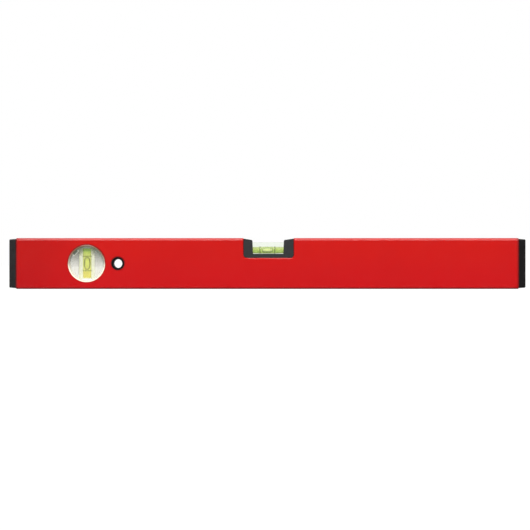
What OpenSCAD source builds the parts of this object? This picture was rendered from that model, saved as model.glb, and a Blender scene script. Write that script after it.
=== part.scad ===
// Box-section spirit level with a level vial in its top edge, a round plumb vial and a
// hanging hole. Millimetres. X runs along the level, Y from front to rear, Z up. The
// origin is under the middle of the level, on the plane of its lower measuring face.

/* [Profile] */
// Length over both end caps
level_l = 500; // [400:5:800]
// Height from the lower measuring face to the upper one
profile_h = 49.3; // [48:0.1:60]
// Depth from the front face to the rear face
profile_d = 20; // [19.5:0.1:24]
// Outer radius of the four long edges
edge_r = 2.5; // [1:0.1:3]
// Thickness of the front and rear walls
side_wall = 1.6; // [1.2:0.1:2]
// Thickness of the walls behind the measuring faces
face_wall = 2.2; // [1.6:0.1:3]
// Radius of the corners inside the tube
inner_r = 1; // [0.4:0.1:1.5]
// Chamfer around the sawn ends of the profile
end_chamfer = 0.9; // [0.3:0.1:1.4]
// Chamfer along the cut edges of the notch
cut_chamfer = 0.7; // [0.1:0.05:0.8]

/* [End caps] */
// Thickness of the part of a cap that shows
cap_lip = 6.3; // [4:0.1:10]
// How far a cap stays inside the outline of the profile
cap_inset = 0.8; // [0.4:0.1:1.5]
// Draft of a cap towards its outer end
cap_draft = 0.45; // [0.1:0.05:1]
// Rounding of the outer end of a cap
cap_round = 0.8; // [0.3:0.1:1.5]
// Length of the plug inside the tube
cap_plug_l = 16; // [8:0.5:24]
// Wall of the hollow plug
cap_plug_wall = 1.8; // [1.2:0.1:2.5]
// Gap between the plug and the tube, which the crush ribs fill
cap_plug_gap = 0.35; // [0.2:0.05:0.6]
// Width of a crush rib
crush_rib_w = 1.2; // [0.8:0.1:2]

/* [Notch and cradle] */
// Length of the notch
notch_l = 48.8; // [47:0.1:54]
// Depth of the notch below the upper measuring face
notch_depth = 19.2; // [19:0.1:22]
// Distance from the middle of the level to the middle of the notch
notch_shift = 1.15; // [0:0.05:2]
// Radius of the lower corners of the notch
notch_corner_r = 3; // [1:0.1:4]
// Opening between the cheeks at their top
cheek_gap_top = 30.6; // [30:0.1:33]
// Opening between the cheeks at the bar
cheek_gap_low = 29.5; // [27:0.1:30]
// How far the opening sits to the left of the middle of the cradle
cheek_gap_shift = 0.4; // [0:0.05:0.6]
// Drop of a cheek below the measuring face at its outer edge
cheek_drop_outer = 0.5; // [0.4:0.1:1.5]
// Drop of a cheek at its inner edge
cheek_drop_inner = 1.8; // [1.6:0.1:2.6]
// Height of the bars beside the vial above the floor of the notch
bar_h = 4; // [2:0.1:5.5]
// How far the cradle stays behind the front and rear faces
cradle_inset = 0.25; // [0.1:0.05:0.6]
// Length of the legs inside the tube
leg_l = 7; // [4:0.5:12]

/* [Level vial] */
// Length of the acrylic block
level_block_l = 42; // [39:0.5:43.5]
// Height of the block
level_block_h = 15.2; // [13:0.1:15.3]
// Depth of the block
level_block_d = 15.2; // [12:0.1:15.4]
// Depth of the top of the block below the upper measuring face
level_block_drop = 4; // [3.9:0.1:4.8]
// Radius of the bore at its middle
level_bore_r = 3.35; // [2.8:0.05:4]
// Acrylic left at the closed end of the bore
level_end_wall = 2.4; // [1.5:0.1:3.5]
// Length of the plug that seals the bore
level_plug_l = 4.6; // [3:0.1:5]
// Distance between the two reading rings
level_ring_gap = 14.4; // [13:0.1:16]
// Length of the air bubble
level_bubble_l = 10.8; // [9:0.1:12]
// Diameter of the air bubble
level_bubble_d = 4.6; // [3.6:0.1:5]

/* [Plumb vial] */
// Distance from the left end of the level to the middle of the plumb vial
plumb_from_end = 74.9; // [60:0.1:80]
// Outer radius of the rim that shows
rim_r = 18.15; // [17.5:0.05:19.4]
// Width of the sloping rim
rim_w = 1.4; // [0.8:0.1:2]
// How far the window stands proud of the face
rim_proud = 0.55; // [0.3:0.05:1]
// How far the rim overlaps the edge of its hole
rim_overlap = 0.35; // [0.2:0.05:0.6]
// Wall of the two shells inside the tube
shell_wall = 1; // [0.8:0.1:1.4]
// Thickness of the windows
window_t = 1.8; // [1.2:0.1:2.5]
// Width of the acrylic block
plumb_block_w = 14.8; // [12:0.1:16]
// Radius of the bore at its middle
plumb_bore_r = 4.2; // [3.4:0.05:4.6]
// Acrylic left at the closed end of the bore
plumb_end_wall = 0.9; // [0.7:0.1:2]
// Length of the plug that seals the bore
plumb_plug_l = 2.8; // [2:0.1:3.5]
// Distance between the two reading rings
plumb_ring_gap = 14.1; // [13:0.1:16]
// Length of the air bubble
plumb_bubble_l = 12.5; // [10:0.1:12.8]
// Diameter of the air bubble
plumb_bubble_d = 6.4; // [5:0.1:6.4]
// Length of the guide ribs beside the block
guide_l = 20; // [12:0.5:20]
// Thickness of the guide ribs
guide_t = 1; // [0.6:0.1:1.2]
// Width of the latch that joins the shells
latch_w = 5.2; // [3:0.1:5.4]
// Thickness of the latch
latch_t = 2.2; // [1.2:0.1:2.4]
// Reach of the latch into the rear shell
latch_reach = 3; // [2:0.1:5]

/* [Hanging hole] */
// Distance from the left end of the level to the hanging hole
hang_from_end = 105.2; // [105:0.1:120]
// Radius of the hole through the sleeve
hang_r = 4.3; // [3.5:0.05:5]
// How much wider that hole is at each of its mouths
hang_lead = 0.6; // [0.2:0.05:0.8]
// Wall of the sleeve
sleeve_wall = 1.3; // [0.9:0.05:1.5]
// How far the flange of the sleeve overlaps its hole
flange_overlap = 0.7; // [0.5:0.05:1.3]
// Thickness of the flange
flange_t = 0.6; // [0.4:0.05:1]
// Length of the lap where the two halves of the sleeve meet
lap_l = 2.5; // [1.5:0.1:4]

/* [Fits] */
// Clearance around pieces that drop into place
fit = 0.1; // [0.05:0.01:0.15]
// Clearance between a vial and the ring, plug or liquid in its bore
film = 0.03; // [0.02:0.005:0.05]
// Clearance between a bubble and the liquid around it
bubble_gap = 0.12; // [0.08:0.01:0.2]

/* [Hidden] */

RED = [0.78, 0.06, 0.06];
BLACK = [0.12, 0.12, 0.12];
CLEAR = [0.88, 0.92, 0.88, 0.4];
LIQUID = [0.74, 0.86, 0.25, 0.7];
AIR = [0.93, 0.97, 0.72, 0.8];

$fn = 96;
eps = 0.01;
over = 1;                 // how far a cutter runs past what it cuts
barrel_R = 400;           // radius of the arc along a vial's bore
barrel_steps = 12;        // straight steps along that arc
bubble_steps = 28;        // straight steps around half a bubble
ring_w = 0.7;             // width of a reading ring along the bore
ring_t = 0.4;             // thickness of a reading ring
plug_shoulder = 0.45;     // how much wider the plug is than the bore
arc_steps = 8;            // straight steps around a rounded corner of an outline
slice = 0.02;             // thickness of the slices that a tapered solid is hulled from
ridge_h = 0.8;            // ridges on the legs that hold the block up
ridge_reach = 1.1;
latch_angle = 135;
barb_t = 0.45;            // how far the latch's barb bites into the rear shell's wall
barb_l = 1;

// Profile
tube_l = level_l - 2 * cap_lip;
mid_z = profile_h / 2;
inner_w = profile_d - 2 * side_wall;
inner_h = profile_h - 2 * face_wall;
face_y = profile_d / 2;

// Notch and cradle, measured up from the floor of the notch
notch_z = profile_h - notch_depth;
cradle_half = notch_l / 2 - fit;
cradle_d = profile_d - 2 * cradle_inset;
leg_d = inner_w - 2 * fit;
block_top = notch_depth - level_block_drop;
block_low = block_top - level_block_h;
pocket_half = level_block_l / 2 + fit;

// Level vial, measured along X from the middle of the level
level_z = notch_z + block_top - level_block_h / 2;
level_lo = level_block_l / 2 - notch_shift - level_end_wall;
level_top = level_block_l / 2 + notch_shift;
level_hi = level_top - level_plug_l;

// Plumb vial, measured up from the middle of its window
plumb_x = plumb_from_end - level_l / 2;
shell_r = rim_r - rim_overlap - fit;
shell_in_r = shell_r - shell_wall;
window_in_y = face_y + rim_proud - window_t;
plumb_block_d = 2 * (window_in_y - fit);
plumb_half = sqrt(pow(shell_in_r - fit, 2) - pow(plumb_block_w / 2, 2));
plumb_lo = plumb_half - plumb_end_wall;
plumb_hi = plumb_half - plumb_plug_l;
latch_out = sqrt(pow(shell_in_r - fit, 2) - pow(latch_w / 2, 2));
barb_reach = shell_in_r - latch_out + barb_t;

// Hanging hole
hang_x = hang_from_end - level_l / 2;
sleeve_r = hang_r + sleeve_wall;
lap_r = hang_r + sleeve_wall / 2;
mouth_y = face_y + flange_t;
mouth_l = 1.5 * hang_lead;

function barrel(r, s) = r - s * s / (2 * barrel_R);
function arc(cx, cy, r, a0, a1) =
    [for (i = [0:arc_steps]) let (a = a0 + (a1 - a0) * i / arc_steps) [cx + r * cos(a), cy + r * sin(a)]];
function barrel_points(r, lo, hi) =
    [for (i = [0:barrel_steps]) let (s = -lo + (lo + hi) * i / barrel_steps) [barrel(r, s), s]];
function bubble_points(l, d) =
    [for (i = [0:bubble_steps]) let (a = -90 + 180 * i / bubble_steps) [max(0, d / 2 * cos(a)), l / 2 * sin(a)]];

module rounded_rect(w, h, r) {
    square([w - 2 * r, h], center = true);
    square([w, h - 2 * r], center = true);
    for (x = [-1, 1], y = [-1, 1]) translate([x * (w / 2 - r), y * (h / 2 - r)]) circle(r);
}

// A 2D outline of the level's cross-section, extruded along +X from x = 0
module along_x(l) {
    rotate([90, 0, 90]) linear_extrude(l) children();
}

// A 2D outline seen from the front, extruded through the whole depth given
module through_y(d) {
    translate([0, d / 2, 0]) rotate([90, 0, 0]) linear_extrude(d) children();
}

// A cylinder or cone along +Y
module along_y(l, r1, r2) {
    rotate([-90, 0, 0]) cylinder(h = l, r1 = r1, r2 = r2);
}

module chamfered_rect(w, h, c) {
    polygon([
        [-w / 2 + c, -h / 2], [w / 2 - c, -h / 2], [w / 2, -h / 2 + c], [w / 2, h / 2 - c],
        [w / 2 - c, h / 2], [-w / 2 + c, h / 2], [-w / 2, h / 2 - c], [-w / 2, -h / 2 + c]
    ]);
}

module notch_outline(grow) {
    half = notch_l / 2 + grow;
    r = notch_corner_r + grow;
    polygon(concat(
        [[-half, notch_depth + over]],
        arc(-half + r, r - grow, r, 180, 270),
        arc(half - r, r - grow, r, 270, 360),
        [[half, notch_depth + over]]
    ));
}

// Cuts a round hole through both side walls
module wall_holes(r) {
    translate([0, -face_y - over, 0]) along_y(profile_d + 2 * over, r, r);
}

module notch_cut() {
    translate([notch_shift, 0, notch_z]) {
        through_y(profile_d + 2 * over) notch_outline(0);
        for (side = [-1, 1]) hull() {
            translate([0, side * (face_y + eps), 0]) through_y(slice) notch_outline(cut_chamfer);
            translate([0, side * (face_y - cut_chamfer), 0]) through_y(slice) notch_outline(0);
        }
    }
}

module profile() {
    color(RED) difference() {
        intersection() {
            translate([-tube_l / 2, 0, mid_z]) along_x(tube_l) difference() {
                rounded_rect(profile_d, profile_h, edge_r);
                rounded_rect(inner_w, inner_h, inner_r);
            }
            translate([0, 0, mid_z])
                through_y(profile_d + over) chamfered_rect(tube_l, profile_h, end_chamfer);
            linear_extrude(profile_h) chamfered_rect(tube_l, profile_d, end_chamfer);
        }
        notch_cut();
        translate([plumb_x, 0, mid_z]) wall_holes(rim_r - rim_overlap);
        translate([hang_x, 0, mid_z]) wall_holes(sleeve_r + fit);
    }
}

// One slice of the cap's outline, a distance from the joint with the profile
module cap_slice(at, inset) {
    r = max(edge_r - inset, 0.6);
    translate([at, 0, 0])
        along_x(slice) rounded_rect(profile_d - 2 * inset, profile_h - 2 * inset, r, $fn = 32);
}

// A cap with its joint at x = 0, its lip towards +X and its plug towards -X
module end_cap() {
    plug_w = inner_w - 2 * cap_plug_gap;
    plug_h = inner_h - 2 * cap_plug_gap;
    plug_r = max(inner_r - cap_plug_gap, 0.2);
    rib_out = cap_plug_gap - film;
    color(BLACK) {
        hull() {
            cap_slice(0, cap_inset);
            cap_slice(cap_lip - cap_round, cap_inset + cap_draft);
            cap_slice(cap_lip - slice, cap_inset + cap_draft + cap_round / 2);
        }
        translate([-cap_plug_l, 0, 0]) along_x(cap_plug_l + eps) difference() {
            rounded_rect(plug_w, plug_h, plug_r);
            square([plug_w - 2 * cap_plug_wall, plug_h - 2 * cap_plug_wall], center = true);
        }
        translate([-cap_plug_l, 0, 0]) along_x(cap_plug_l + eps) {
            for (side = [-1, 1], z = [-plug_h / 3, 0, plug_h / 3])
                translate([side * (plug_w / 2 + rib_out / 2 - eps), z])
                    square([rib_out, crush_rib_w], center = true);
            for (side = [-1, 1])
                translate([0, side * (plug_h / 2 + rib_out / 2 - eps)])
                    square([crush_rib_w, rib_out], center = true);
        }
    }
}

module right_end_cap() {
    translate([tube_l / 2, 0, mid_z]) end_cap();
}

module left_end_cap() {
    translate([-tube_l / 2, 0, mid_z]) rotate([0, 0, 180]) end_cap();
}

module cradle_outline() {
    r = notch_corner_r;
    top_half = cheek_gap_top / 2;
    low_half = cheek_gap_low / 2;
    outer_top = notch_depth - cheek_drop_outer;
    inner_top = notch_depth - cheek_drop_inner;
    soften = 0.6;
    mid = -cheek_gap_shift;
    polygon(concat(
        arc(-cradle_half + r, r + fit, r, 180, 270),
        arc(cradle_half - r, r + fit, r, 270, 360),
        [[cradle_half, outer_top], [mid + top_half + soften, inner_top], [mid + top_half, inner_top - soften],
         [mid + low_half, bar_h], [mid - low_half, bar_h],
         [mid - top_half, inner_top - soften], [mid - top_half - soften, inner_top], [-cradle_half, outer_top]]
    ));
}

module level_vial_cradle() {
    pocket_d = level_block_d + 2 * fit;
    leg_w = cradle_half - pocket_half;
    color(BLACK) translate([notch_shift, 0, notch_z]) {
        difference() {
            union() {
                through_y(cradle_d) cradle_outline();
                for (side = [-1, 1])
                    translate([side * (pocket_half + leg_w / 2), 0, (bar_h - leg_l) / 2])
                        cube([leg_w, leg_d, bar_h + leg_l], center = true);
            }
            translate([-pocket_half, -pocket_d / 2, -leg_l - over])
                cube([2 * pocket_half, pocket_d, leg_l + over + block_top + fit]);
        }
        for (side = [-1, 1])
            translate([side * (pocket_half - ridge_reach / 2 + eps), 0, block_low - fit - ridge_h / 2])
                cube([ridge_reach, pocket_d / 3, ridge_h], center = true);
    }
}

// The space in a block for the liquid, the rings and the plug. Its axis is Z, and z = 0 is
// midway between the rings.
module vial_space(r, lo, hi, top, ring_gap) {
    seat_r = barrel(r, hi) + plug_shoulder;
    rotate_extrude() polygon(concat(
        [[0, -lo]], barrel_points(r, lo, hi),
        [[seat_r, hi], [seat_r, top + over], [0, top + over]]
    ));
    for (side = [-1, 1])
        reading_ring(r, side * ring_gap / 2, film);
}

module reading_ring(r, at, grow) {
    in_r = barrel(r, at);
    rotate_extrude() translate([in_r - grow, at - ring_w / 2 - grow])
        square([ring_t + 2 * grow, ring_w + 2 * grow]);
}

module vial_plug(r, hi, top) {
    translate([0, 0, hi + film])
        cylinder(h = top - hi - film, r = barrel(r, hi) + plug_shoulder - film);
}

module vial_liquid(r, lo, hi, bubble_l, bubble_d) {
    difference() {
        rotate_extrude() polygon(concat(
            [[0, -lo + film]], barrel_points(r - film, lo - film, hi - film), [[0, hi - film]]
        ));
        vial_bubble(bubble_l + 2 * bubble_gap, bubble_d + 2 * bubble_gap);
    }
}

module vial_bubble(l, d) {
    rotate_extrude() polygon(bubble_points(l, d));
}

module at_level_vial() {
    translate([0, 0, level_z]) rotate([0, 90, 0]) children();
}

module level_vial_block() {
    color(CLEAR) difference() {
        translate([notch_shift, 0, level_z])
            cube([level_block_l, level_block_d, level_block_h], center = true);
        at_level_vial() vial_space(level_bore_r, level_lo, level_hi, level_top, level_ring_gap);
    }
}

module level_vial_plug() {
    color(CLEAR) at_level_vial() vial_plug(level_bore_r, level_hi, level_top);
}

module level_vial_left_ring() {
    color(BLACK) at_level_vial() reading_ring(level_bore_r, -level_ring_gap / 2, 0);
}

module level_vial_right_ring() {
    color(BLACK) at_level_vial() reading_ring(level_bore_r, level_ring_gap / 2, 0);
}

module level_vial_liquid() {
    color(LIQUID) at_level_vial()
        vial_liquid(level_bore_r, level_lo, level_hi, level_bubble_l, level_bubble_d);
}

module level_vial_bubble() {
    color(AIR) at_level_vial() vial_bubble(level_bubble_l, level_bubble_d);
}

module at_plumb_vial() {
    translate([plumb_x, 0, mid_z]) children();
}

// One shell with its window towards -Y. The wall ends halfway through the profile.
module shell() {
    rim_low_r = rim_r - rim_w;
    translate([0, -face_y - rim_proud, 0]) along_y(rim_proud - film, rim_low_r, rim_r);
    difference() {
        translate([0, -face_y - film, 0]) along_y(face_y - film, shell_r, shell_r);
        translate([0, -window_in_y, 0]) along_y(face_y, shell_in_r, shell_in_r);
    }
    for (side = [-1, 1])
        translate([side * (plumb_block_w / 2 + fit + guide_t / 2), -window_in_y / 2 - fit / 2, 0])
            cube([guide_t, window_in_y - fit, guide_l], center = true);
}

// Two opposite places on the shells' inner wall, with +X outwards and x = 0 on a tongue's back
module at_latches() {
    for (turn = [0, 180]) rotate([0, -latch_angle + turn, 0]) translate([latch_out, 0, 0]) children();
}

module plumb_vial_front_shell() {
    tongue_l = window_in_y + latch_reach;
    color(CLEAR) at_plumb_vial() {
        shell();
        at_latches() {
            translate([-latch_t, -window_in_y - eps, -latch_w / 2]) cube([latch_t, tongue_l, latch_w]);
            translate([-eps, latch_reach - barb_l - eps, -latch_w / 4])
                cube([barb_reach, barb_l, latch_w / 2]);
        }
    }
}

module plumb_vial_rear_shell() {
    color(CLEAR) at_plumb_vial() difference() {
        mirror([0, 1, 0]) shell();
        at_latches() translate([0, latch_reach - barb_l - 2 * fit, -latch_w / 4 - fit])
            cube([barb_reach + fit, barb_l + 3 * fit, latch_w / 2 + 2 * fit]);
    }
}

module plumb_vial_block() {
    color(CLEAR) at_plumb_vial() difference() {
        cube([plumb_block_w, plumb_block_d, 2 * plumb_half], center = true);
        vial_space(plumb_bore_r, plumb_lo, plumb_hi, plumb_half, plumb_ring_gap);
    }
}

module plumb_vial_plug() {
    color(CLEAR) at_plumb_vial() vial_plug(plumb_bore_r, plumb_hi, plumb_half);
}

module plumb_vial_upper_ring() {
    color(BLACK) at_plumb_vial() reading_ring(plumb_bore_r, plumb_ring_gap / 2, 0);
}

module plumb_vial_lower_ring() {
    color(BLACK) at_plumb_vial() reading_ring(plumb_bore_r, -plumb_ring_gap / 2, 0);
}

module plumb_vial_liquid() {
    color(LIQUID) at_plumb_vial()
        vial_liquid(plumb_bore_r, plumb_lo, plumb_hi, plumb_bubble_l, plumb_bubble_d);
}

module plumb_vial_bubble() {
    color(AIR) at_plumb_vial() vial_bubble(plumb_bubble_l, plumb_bubble_d);
}

// Half of the sleeve, with its flange at the front face and its end at end_y
module half_sleeve(end_y) {
    flange_r = sleeve_r + fit + flange_overlap;
    translate([0, -face_y - flange_t, 0]) along_y(flange_t - film, flange_r - flange_t / 2, flange_r);
    translate([0, -face_y - film - eps, 0]) along_y(face_y + film + end_y + eps, sleeve_r, sleeve_r);
}

module hang_bore() {
    translate([0, -mouth_y - over, 0]) along_y(2 * (mouth_y + over), hang_r, hang_r);
    for (turn = [0, 180]) rotate([turn, 0, 0]) {
        translate([0, -mouth_y, 0]) along_y(mouth_l, hang_r + hang_lead, hang_r);
        translate([0, -mouth_y - over, 0]) along_y(over + eps, hang_r + hang_lead, hang_r + hang_lead);
    }
}

module hang_hole_front_sleeve() {
    color(BLACK) translate([hang_x, 0, mid_z]) difference() {
        union() {
            half_sleeve(-fit / 2);
            translate([0, -fit, 0]) along_y(lap_l + fit, lap_r - film, lap_r - film);
        }
        hang_bore();
    }
}

module hang_hole_rear_sleeve() {
    color(BLACK) translate([hang_x, 0, mid_z]) difference() {
        mirror([0, 1, 0]) half_sleeve(-fit / 2);
        translate([0, -over, 0]) along_y(lap_l + fit + over, lap_r, lap_r);
        hang_bore();
    }
}

profile();
left_end_cap();
right_end_cap();
level_vial_cradle();
level_vial_block();
level_vial_plug();
level_vial_left_ring();
level_vial_right_ring();
level_vial_liquid();
level_vial_bubble();
plumb_vial_front_shell();
plumb_vial_rear_shell();
plumb_vial_block();
plumb_vial_plug();
plumb_vial_upper_ring();
plumb_vial_lower_ring();
plumb_vial_liquid();
plumb_vial_bubble();
hang_hole_front_sleeve();
hang_hole_rear_sleeve();
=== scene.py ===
"""Finely rounded pieces and finishes for a box-section spirit level.

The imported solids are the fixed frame. Every place comes from them, and what they don't say is
a named size of the sub-assembly that it belongs to. Lengths are millimetres while a piece is
being shaped, and metres in finished meshes, materials, lamps and the camera.
"""

import logging
import math
from abc import ABC, abstractmethod
from collections.abc import Callable, Iterable, Sequence
from dataclasses import dataclass, field
from enum import Enum

import bmesh
import bpy
from mathutils import Matrix, Vector


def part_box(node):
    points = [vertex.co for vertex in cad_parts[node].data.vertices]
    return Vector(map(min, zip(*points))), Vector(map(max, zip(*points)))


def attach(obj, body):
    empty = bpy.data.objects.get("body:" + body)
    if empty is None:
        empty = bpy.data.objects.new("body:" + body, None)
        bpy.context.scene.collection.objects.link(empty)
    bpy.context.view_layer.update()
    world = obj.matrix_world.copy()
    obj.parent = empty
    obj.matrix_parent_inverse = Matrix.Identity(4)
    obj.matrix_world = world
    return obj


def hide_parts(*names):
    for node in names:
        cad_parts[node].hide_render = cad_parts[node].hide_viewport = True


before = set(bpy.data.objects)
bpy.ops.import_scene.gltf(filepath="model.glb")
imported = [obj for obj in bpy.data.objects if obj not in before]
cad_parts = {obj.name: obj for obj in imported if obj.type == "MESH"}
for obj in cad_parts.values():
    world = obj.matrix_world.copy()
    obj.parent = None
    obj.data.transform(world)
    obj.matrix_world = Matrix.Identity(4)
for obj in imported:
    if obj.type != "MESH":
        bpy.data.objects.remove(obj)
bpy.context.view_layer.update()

MM = 0.001
LEVEL_BODY = "level"
CIRCLE_SIDES = 96
WELD_DISTANCE = 1e-5

Socket = bpy.types.NodeSocket
Piece = bpy.types.Object
Material = bpy.types.Material
Colour = tuple[float, float, float]
Outline = list[tuple[float, float]]
Stops = tuple[tuple[float, Colour], ...]
Span = tuple[float, float]
Value = float | Sequence[float] | Socket
Inputs = dict[str | int, Value]
Sizes = dict[str, float | Material]

WHITE = (1.0, 1.0, 1.0, 1.0)

log = logging.getLogger("spirit_level")


def display(red: int, green: int, blue: int) -> Colour:
    """Linear colour of an 8-bit display colour.

    Args:
        red: Red level, 0 to 255.
        green: Green level.
        blue: Blue level.

    Returns:
        The linear shares of red, green and blue.
    """

    def linear(level: int) -> float:
        """Linear share of one 8-bit level, by the sRGB curve."""
        share = level / 255
        return share / 12.92 if share <= 0.04045 else ((share + 0.055) / 1.055) ** 2.4

    return linear(red), linear(green), linear(blue)


class Axis(Enum):
    """An axis of the level: along it, from front to rear, or up."""

    ALONG = 0
    DEPTH = 1
    UP = 2

    def point(self, at: float, across: float, beside: float) -> Vector:
        """Point at a distance along this axis.

        Args:
            at: Distance along this axis.
            across: Distance along the first of the other axes.
            beside: Distance along the second of them.

        Returns:
            The point.
        """
        parts = [across, beside]
        parts.insert(self.value, at)
        return Vector(parts)

    def stand(self, centre: Vector) -> Matrix:
        """Matrix that turns +Z onto this axis and moves the origin to centre.

        Args:
            centre: Where the origin goes.

        Returns:
            The rigid placement.
        """
        turns = {
            Axis.ALONG: Matrix.Rotation(math.pi / 2, 4, "Y"),
            Axis.DEPTH: Matrix.Rotation(-math.pi / 2, 4, "X"),
            Axis.UP: Matrix.Identity(4),
        }
        return Matrix.Translation(centre) @ turns[self]


class Side(Enum):
    """An end of the level."""

    LEFT = -1
    RIGHT = 1


class Face(Enum):
    """A broad face of the level."""

    FRONT = -1
    REAR = 1


@dataclass(frozen=True)
class Box:
    """The box around one or more solids, in millimetres."""

    low: Vector
    high: Vector

    @classmethod
    def of(cls, *nodes: str) -> "Box":
        """Box around the named solids of the frame.

        Args:
            nodes: Names of the solids.

        Returns:
            The box.
        """
        corners = [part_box(node) for node in nodes]
        low = Vector([min(pair[0][i] for pair in corners) for i in range(3)])
        high = Vector([max(pair[1][i] for pair in corners) for i in range(3)])
        return cls(low / MM, high / MM)

    @property
    def centre(self) -> Vector:
        """Middle of the box."""
        return (self.low + self.high) / 2

    @property
    def hub(self) -> Vector:
        """Middle of the box seen from the front, on the level's own middle plane."""
        return Vector((self.centre.x, 0, self.centre.z))

    @property
    def size(self) -> Vector:
        """Extent of the box along the three axes."""
        return self.high - self.low


# ---------------------------------------------------------------- materials


class NodeBuilder:
    """Adds nodes to a node tree."""

    def __init__(self, tree: bpy.types.NodeTree) -> None:
        """Starts with a tree."""
        self.tree = tree

    def feed(self, socket: Socket, value: Value) -> None:
        """Links a socket to another one, or gives it a constant.

        Args:
            socket: The input.
            value: A socket to link, or a constant.
        """
        if isinstance(value, Socket):
            self.tree.links.new(value, socket)
        else:
            socket.default_value = value

    def add(self, kind: str, inputs: Inputs | None = None, **settings: str | bool) -> bpy.types.Node:
        """Adds a node.

        Args:
            kind: Blender's name for the node's type.
            inputs: A value or a linked socket for each input, by name or index.
            settings: The node's own properties.

        Returns:
            The new node.
        """
        node = self.tree.nodes.new(kind)
        for key, value in settings.items():
            setattr(node, key, value)
        for key, value in (inputs or {}).items():
            self.feed(node.inputs[key], value)
        return node

    def out(self, kind: str, inputs: Inputs | None = None, **settings: str | bool) -> Socket:
        """Adds a node, as add does, and gives its first output."""
        return self.add(kind, inputs, **settings).outputs[0]

    def math(self, operation: str, first: Value, second: Value = 0.0) -> Socket:
        """Result of a Math node."""
        return self.out("ShaderNodeMath", {0: first, 1: second}, operation=operation)

    def part(self, axis: Axis, vector: Socket) -> Socket:
        """One coordinate of a vector."""
        return self.add("ShaderNodeSeparateXYZ", {0: vector}).outputs[axis.value]

    def fade(
        self, value: Value, start: float, end: float, low: float = 0.0, high: float = 1.0
    ) -> Socket:
        """Smooth step between two values.

        Args:
            value: What is measured.
            start: Where the step starts, in the value's own unit.
            end: Where it ends.
            low: Result up to the start.
            high: Result from the end on.

        Returns:
            The stepped value.
        """
        inputs = {"Value": value, "From Min": start, "From Max": end, "To Min": low, "To Max": high}
        return self.out("ShaderNodeMapRange", inputs, interpolation_type="SMOOTHSTEP")


class Shader(NodeBuilder):
    """A node material under construction, around one Principled shader."""

    def __init__(self, name: str) -> None:
        """Starts an empty material whose patterns follow Object coordinates.

        Args:
            name: Name of the material.
        """
        self.material = bpy.data.materials.new(name)
        self.material.use_nodes = True
        super().__init__(self.material.node_tree)
        self.surface = self.tree.nodes["Principled BSDF"]
        self.place = self.add("ShaderNodeTexCoord").outputs["Object"]

    def set(self, **values: Value) -> "Shader":
        """Sets inputs of the Principled shader.

        Args:
            values: A value or a linked socket for each input, with _ for each space in its name.

        Returns:
            This shader.
        """
        for key, value in values.items():
            if isinstance(value, tuple) and len(value) == 3:
                value = (*value, 1)
            self.feed(self.surface.inputs[key.replace("_", " ")], value)
        return self

    def moved(self, centre: Vector) -> Socket:
        """Object coordinates measured from a point given in millimetres."""
        return self.out("ShaderNodeVectorMath", {0: self.place, 1: centre * MM}, operation="SUBTRACT")

    def along(self, axis: Axis, place: Socket | None = None) -> Socket:
        """One coordinate of a position, in metres."""
        return self.part(axis, place or self.place)

    def radius(self, place: Socket, shift: tuple[float, float] = (0.0, 0.0)) -> Socket:
        """Distance from an axis that runs from front to rear, or from a line beside it.

        Args:
            place: Position measured from a point of the axis.
            shift: Millimetres by which the line lies to the left of the axis and below it.

        Returns:
            The distance in metres.
        """
        flat = self.out("ShaderNodeVectorMath", {0: place, 1: (1, 0, 1)}, operation="MULTIPLY")
        aside = Vector((shift[0], 0, shift[1])) * MM
        moved = self.out("ShaderNodeVectorMath", {0: flat, 1: aside}, operation="ADD")
        return self.add("ShaderNodeVectorMath", {0: moved}, operation="LENGTH").outputs["Value"]

    def noise(self, size: float, detail: float = 2.0, place: Socket | None = None) -> Socket:
        """Noise whose features are about size millimetres across.

        Args:
            size: Size of the features, in millimetres.
            detail: How many finer layers it has.
            place: Position to read it at, if not the Object coordinates.

        Returns:
            The noise, about 0.25 to 0.75.
        """
        inputs = {"Vector": place or self.place, "Scale": 1 / (size * MM), "Detail": detail}
        return self.add("ShaderNodeTexNoise", inputs).outputs["Fac"]

    def mix(self, share: Value, first: Value, second: Value) -> Socket:
        """Colour between two colours.

        Args:
            share: Share of the second colour.
            first: Colour where the share is 0.
            second: Colour where it is 1.

        Returns:
            The mixed colour.
        """
        colours = [(*c, 1) if isinstance(c, tuple) and len(c) == 3 else c for c in (first, second)]
        # Inputs 6 and 7 and output 2 are the node's colours. Those before them are for other types.
        node = self.add("ShaderNodeMix", {0: share, 6: colours[0], 7: colours[1]}, data_type="RGBA")
        return node.outputs[2]

    def see_through(self, solid: Value, tint: Value) -> "Shader":
        """Lets light of a tint through, where the surface isn't solid.

        Args:
            solid: Share of the surface that is solid.
            tint: Colour of the light that passes the rest.

        Returns:
            This shader.
        """
        passing = self.out("ShaderNodeBsdfTransparent", {0: tint})
        both = self.out("ShaderNodeMixShader", {0: solid, 1: passing, 2: self.surface.outputs[0]})
        self.feed(self.tree.nodes["Material Output"].inputs["Surface"], both)
        return self

    def bump(self, height: Socket, depth: float) -> Socket:
        """Normal of a relief whose full height is depth millimetres."""
        return self.add("ShaderNodeBump", {"Height": height, "Distance": depth * MM}).outputs["Normal"]


class Finish(ABC):
    """A surface finish that can be made into a material."""

    name: str

    @abstractmethod
    def material(self) -> Material:
        """Makes the finish's node material."""


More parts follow.
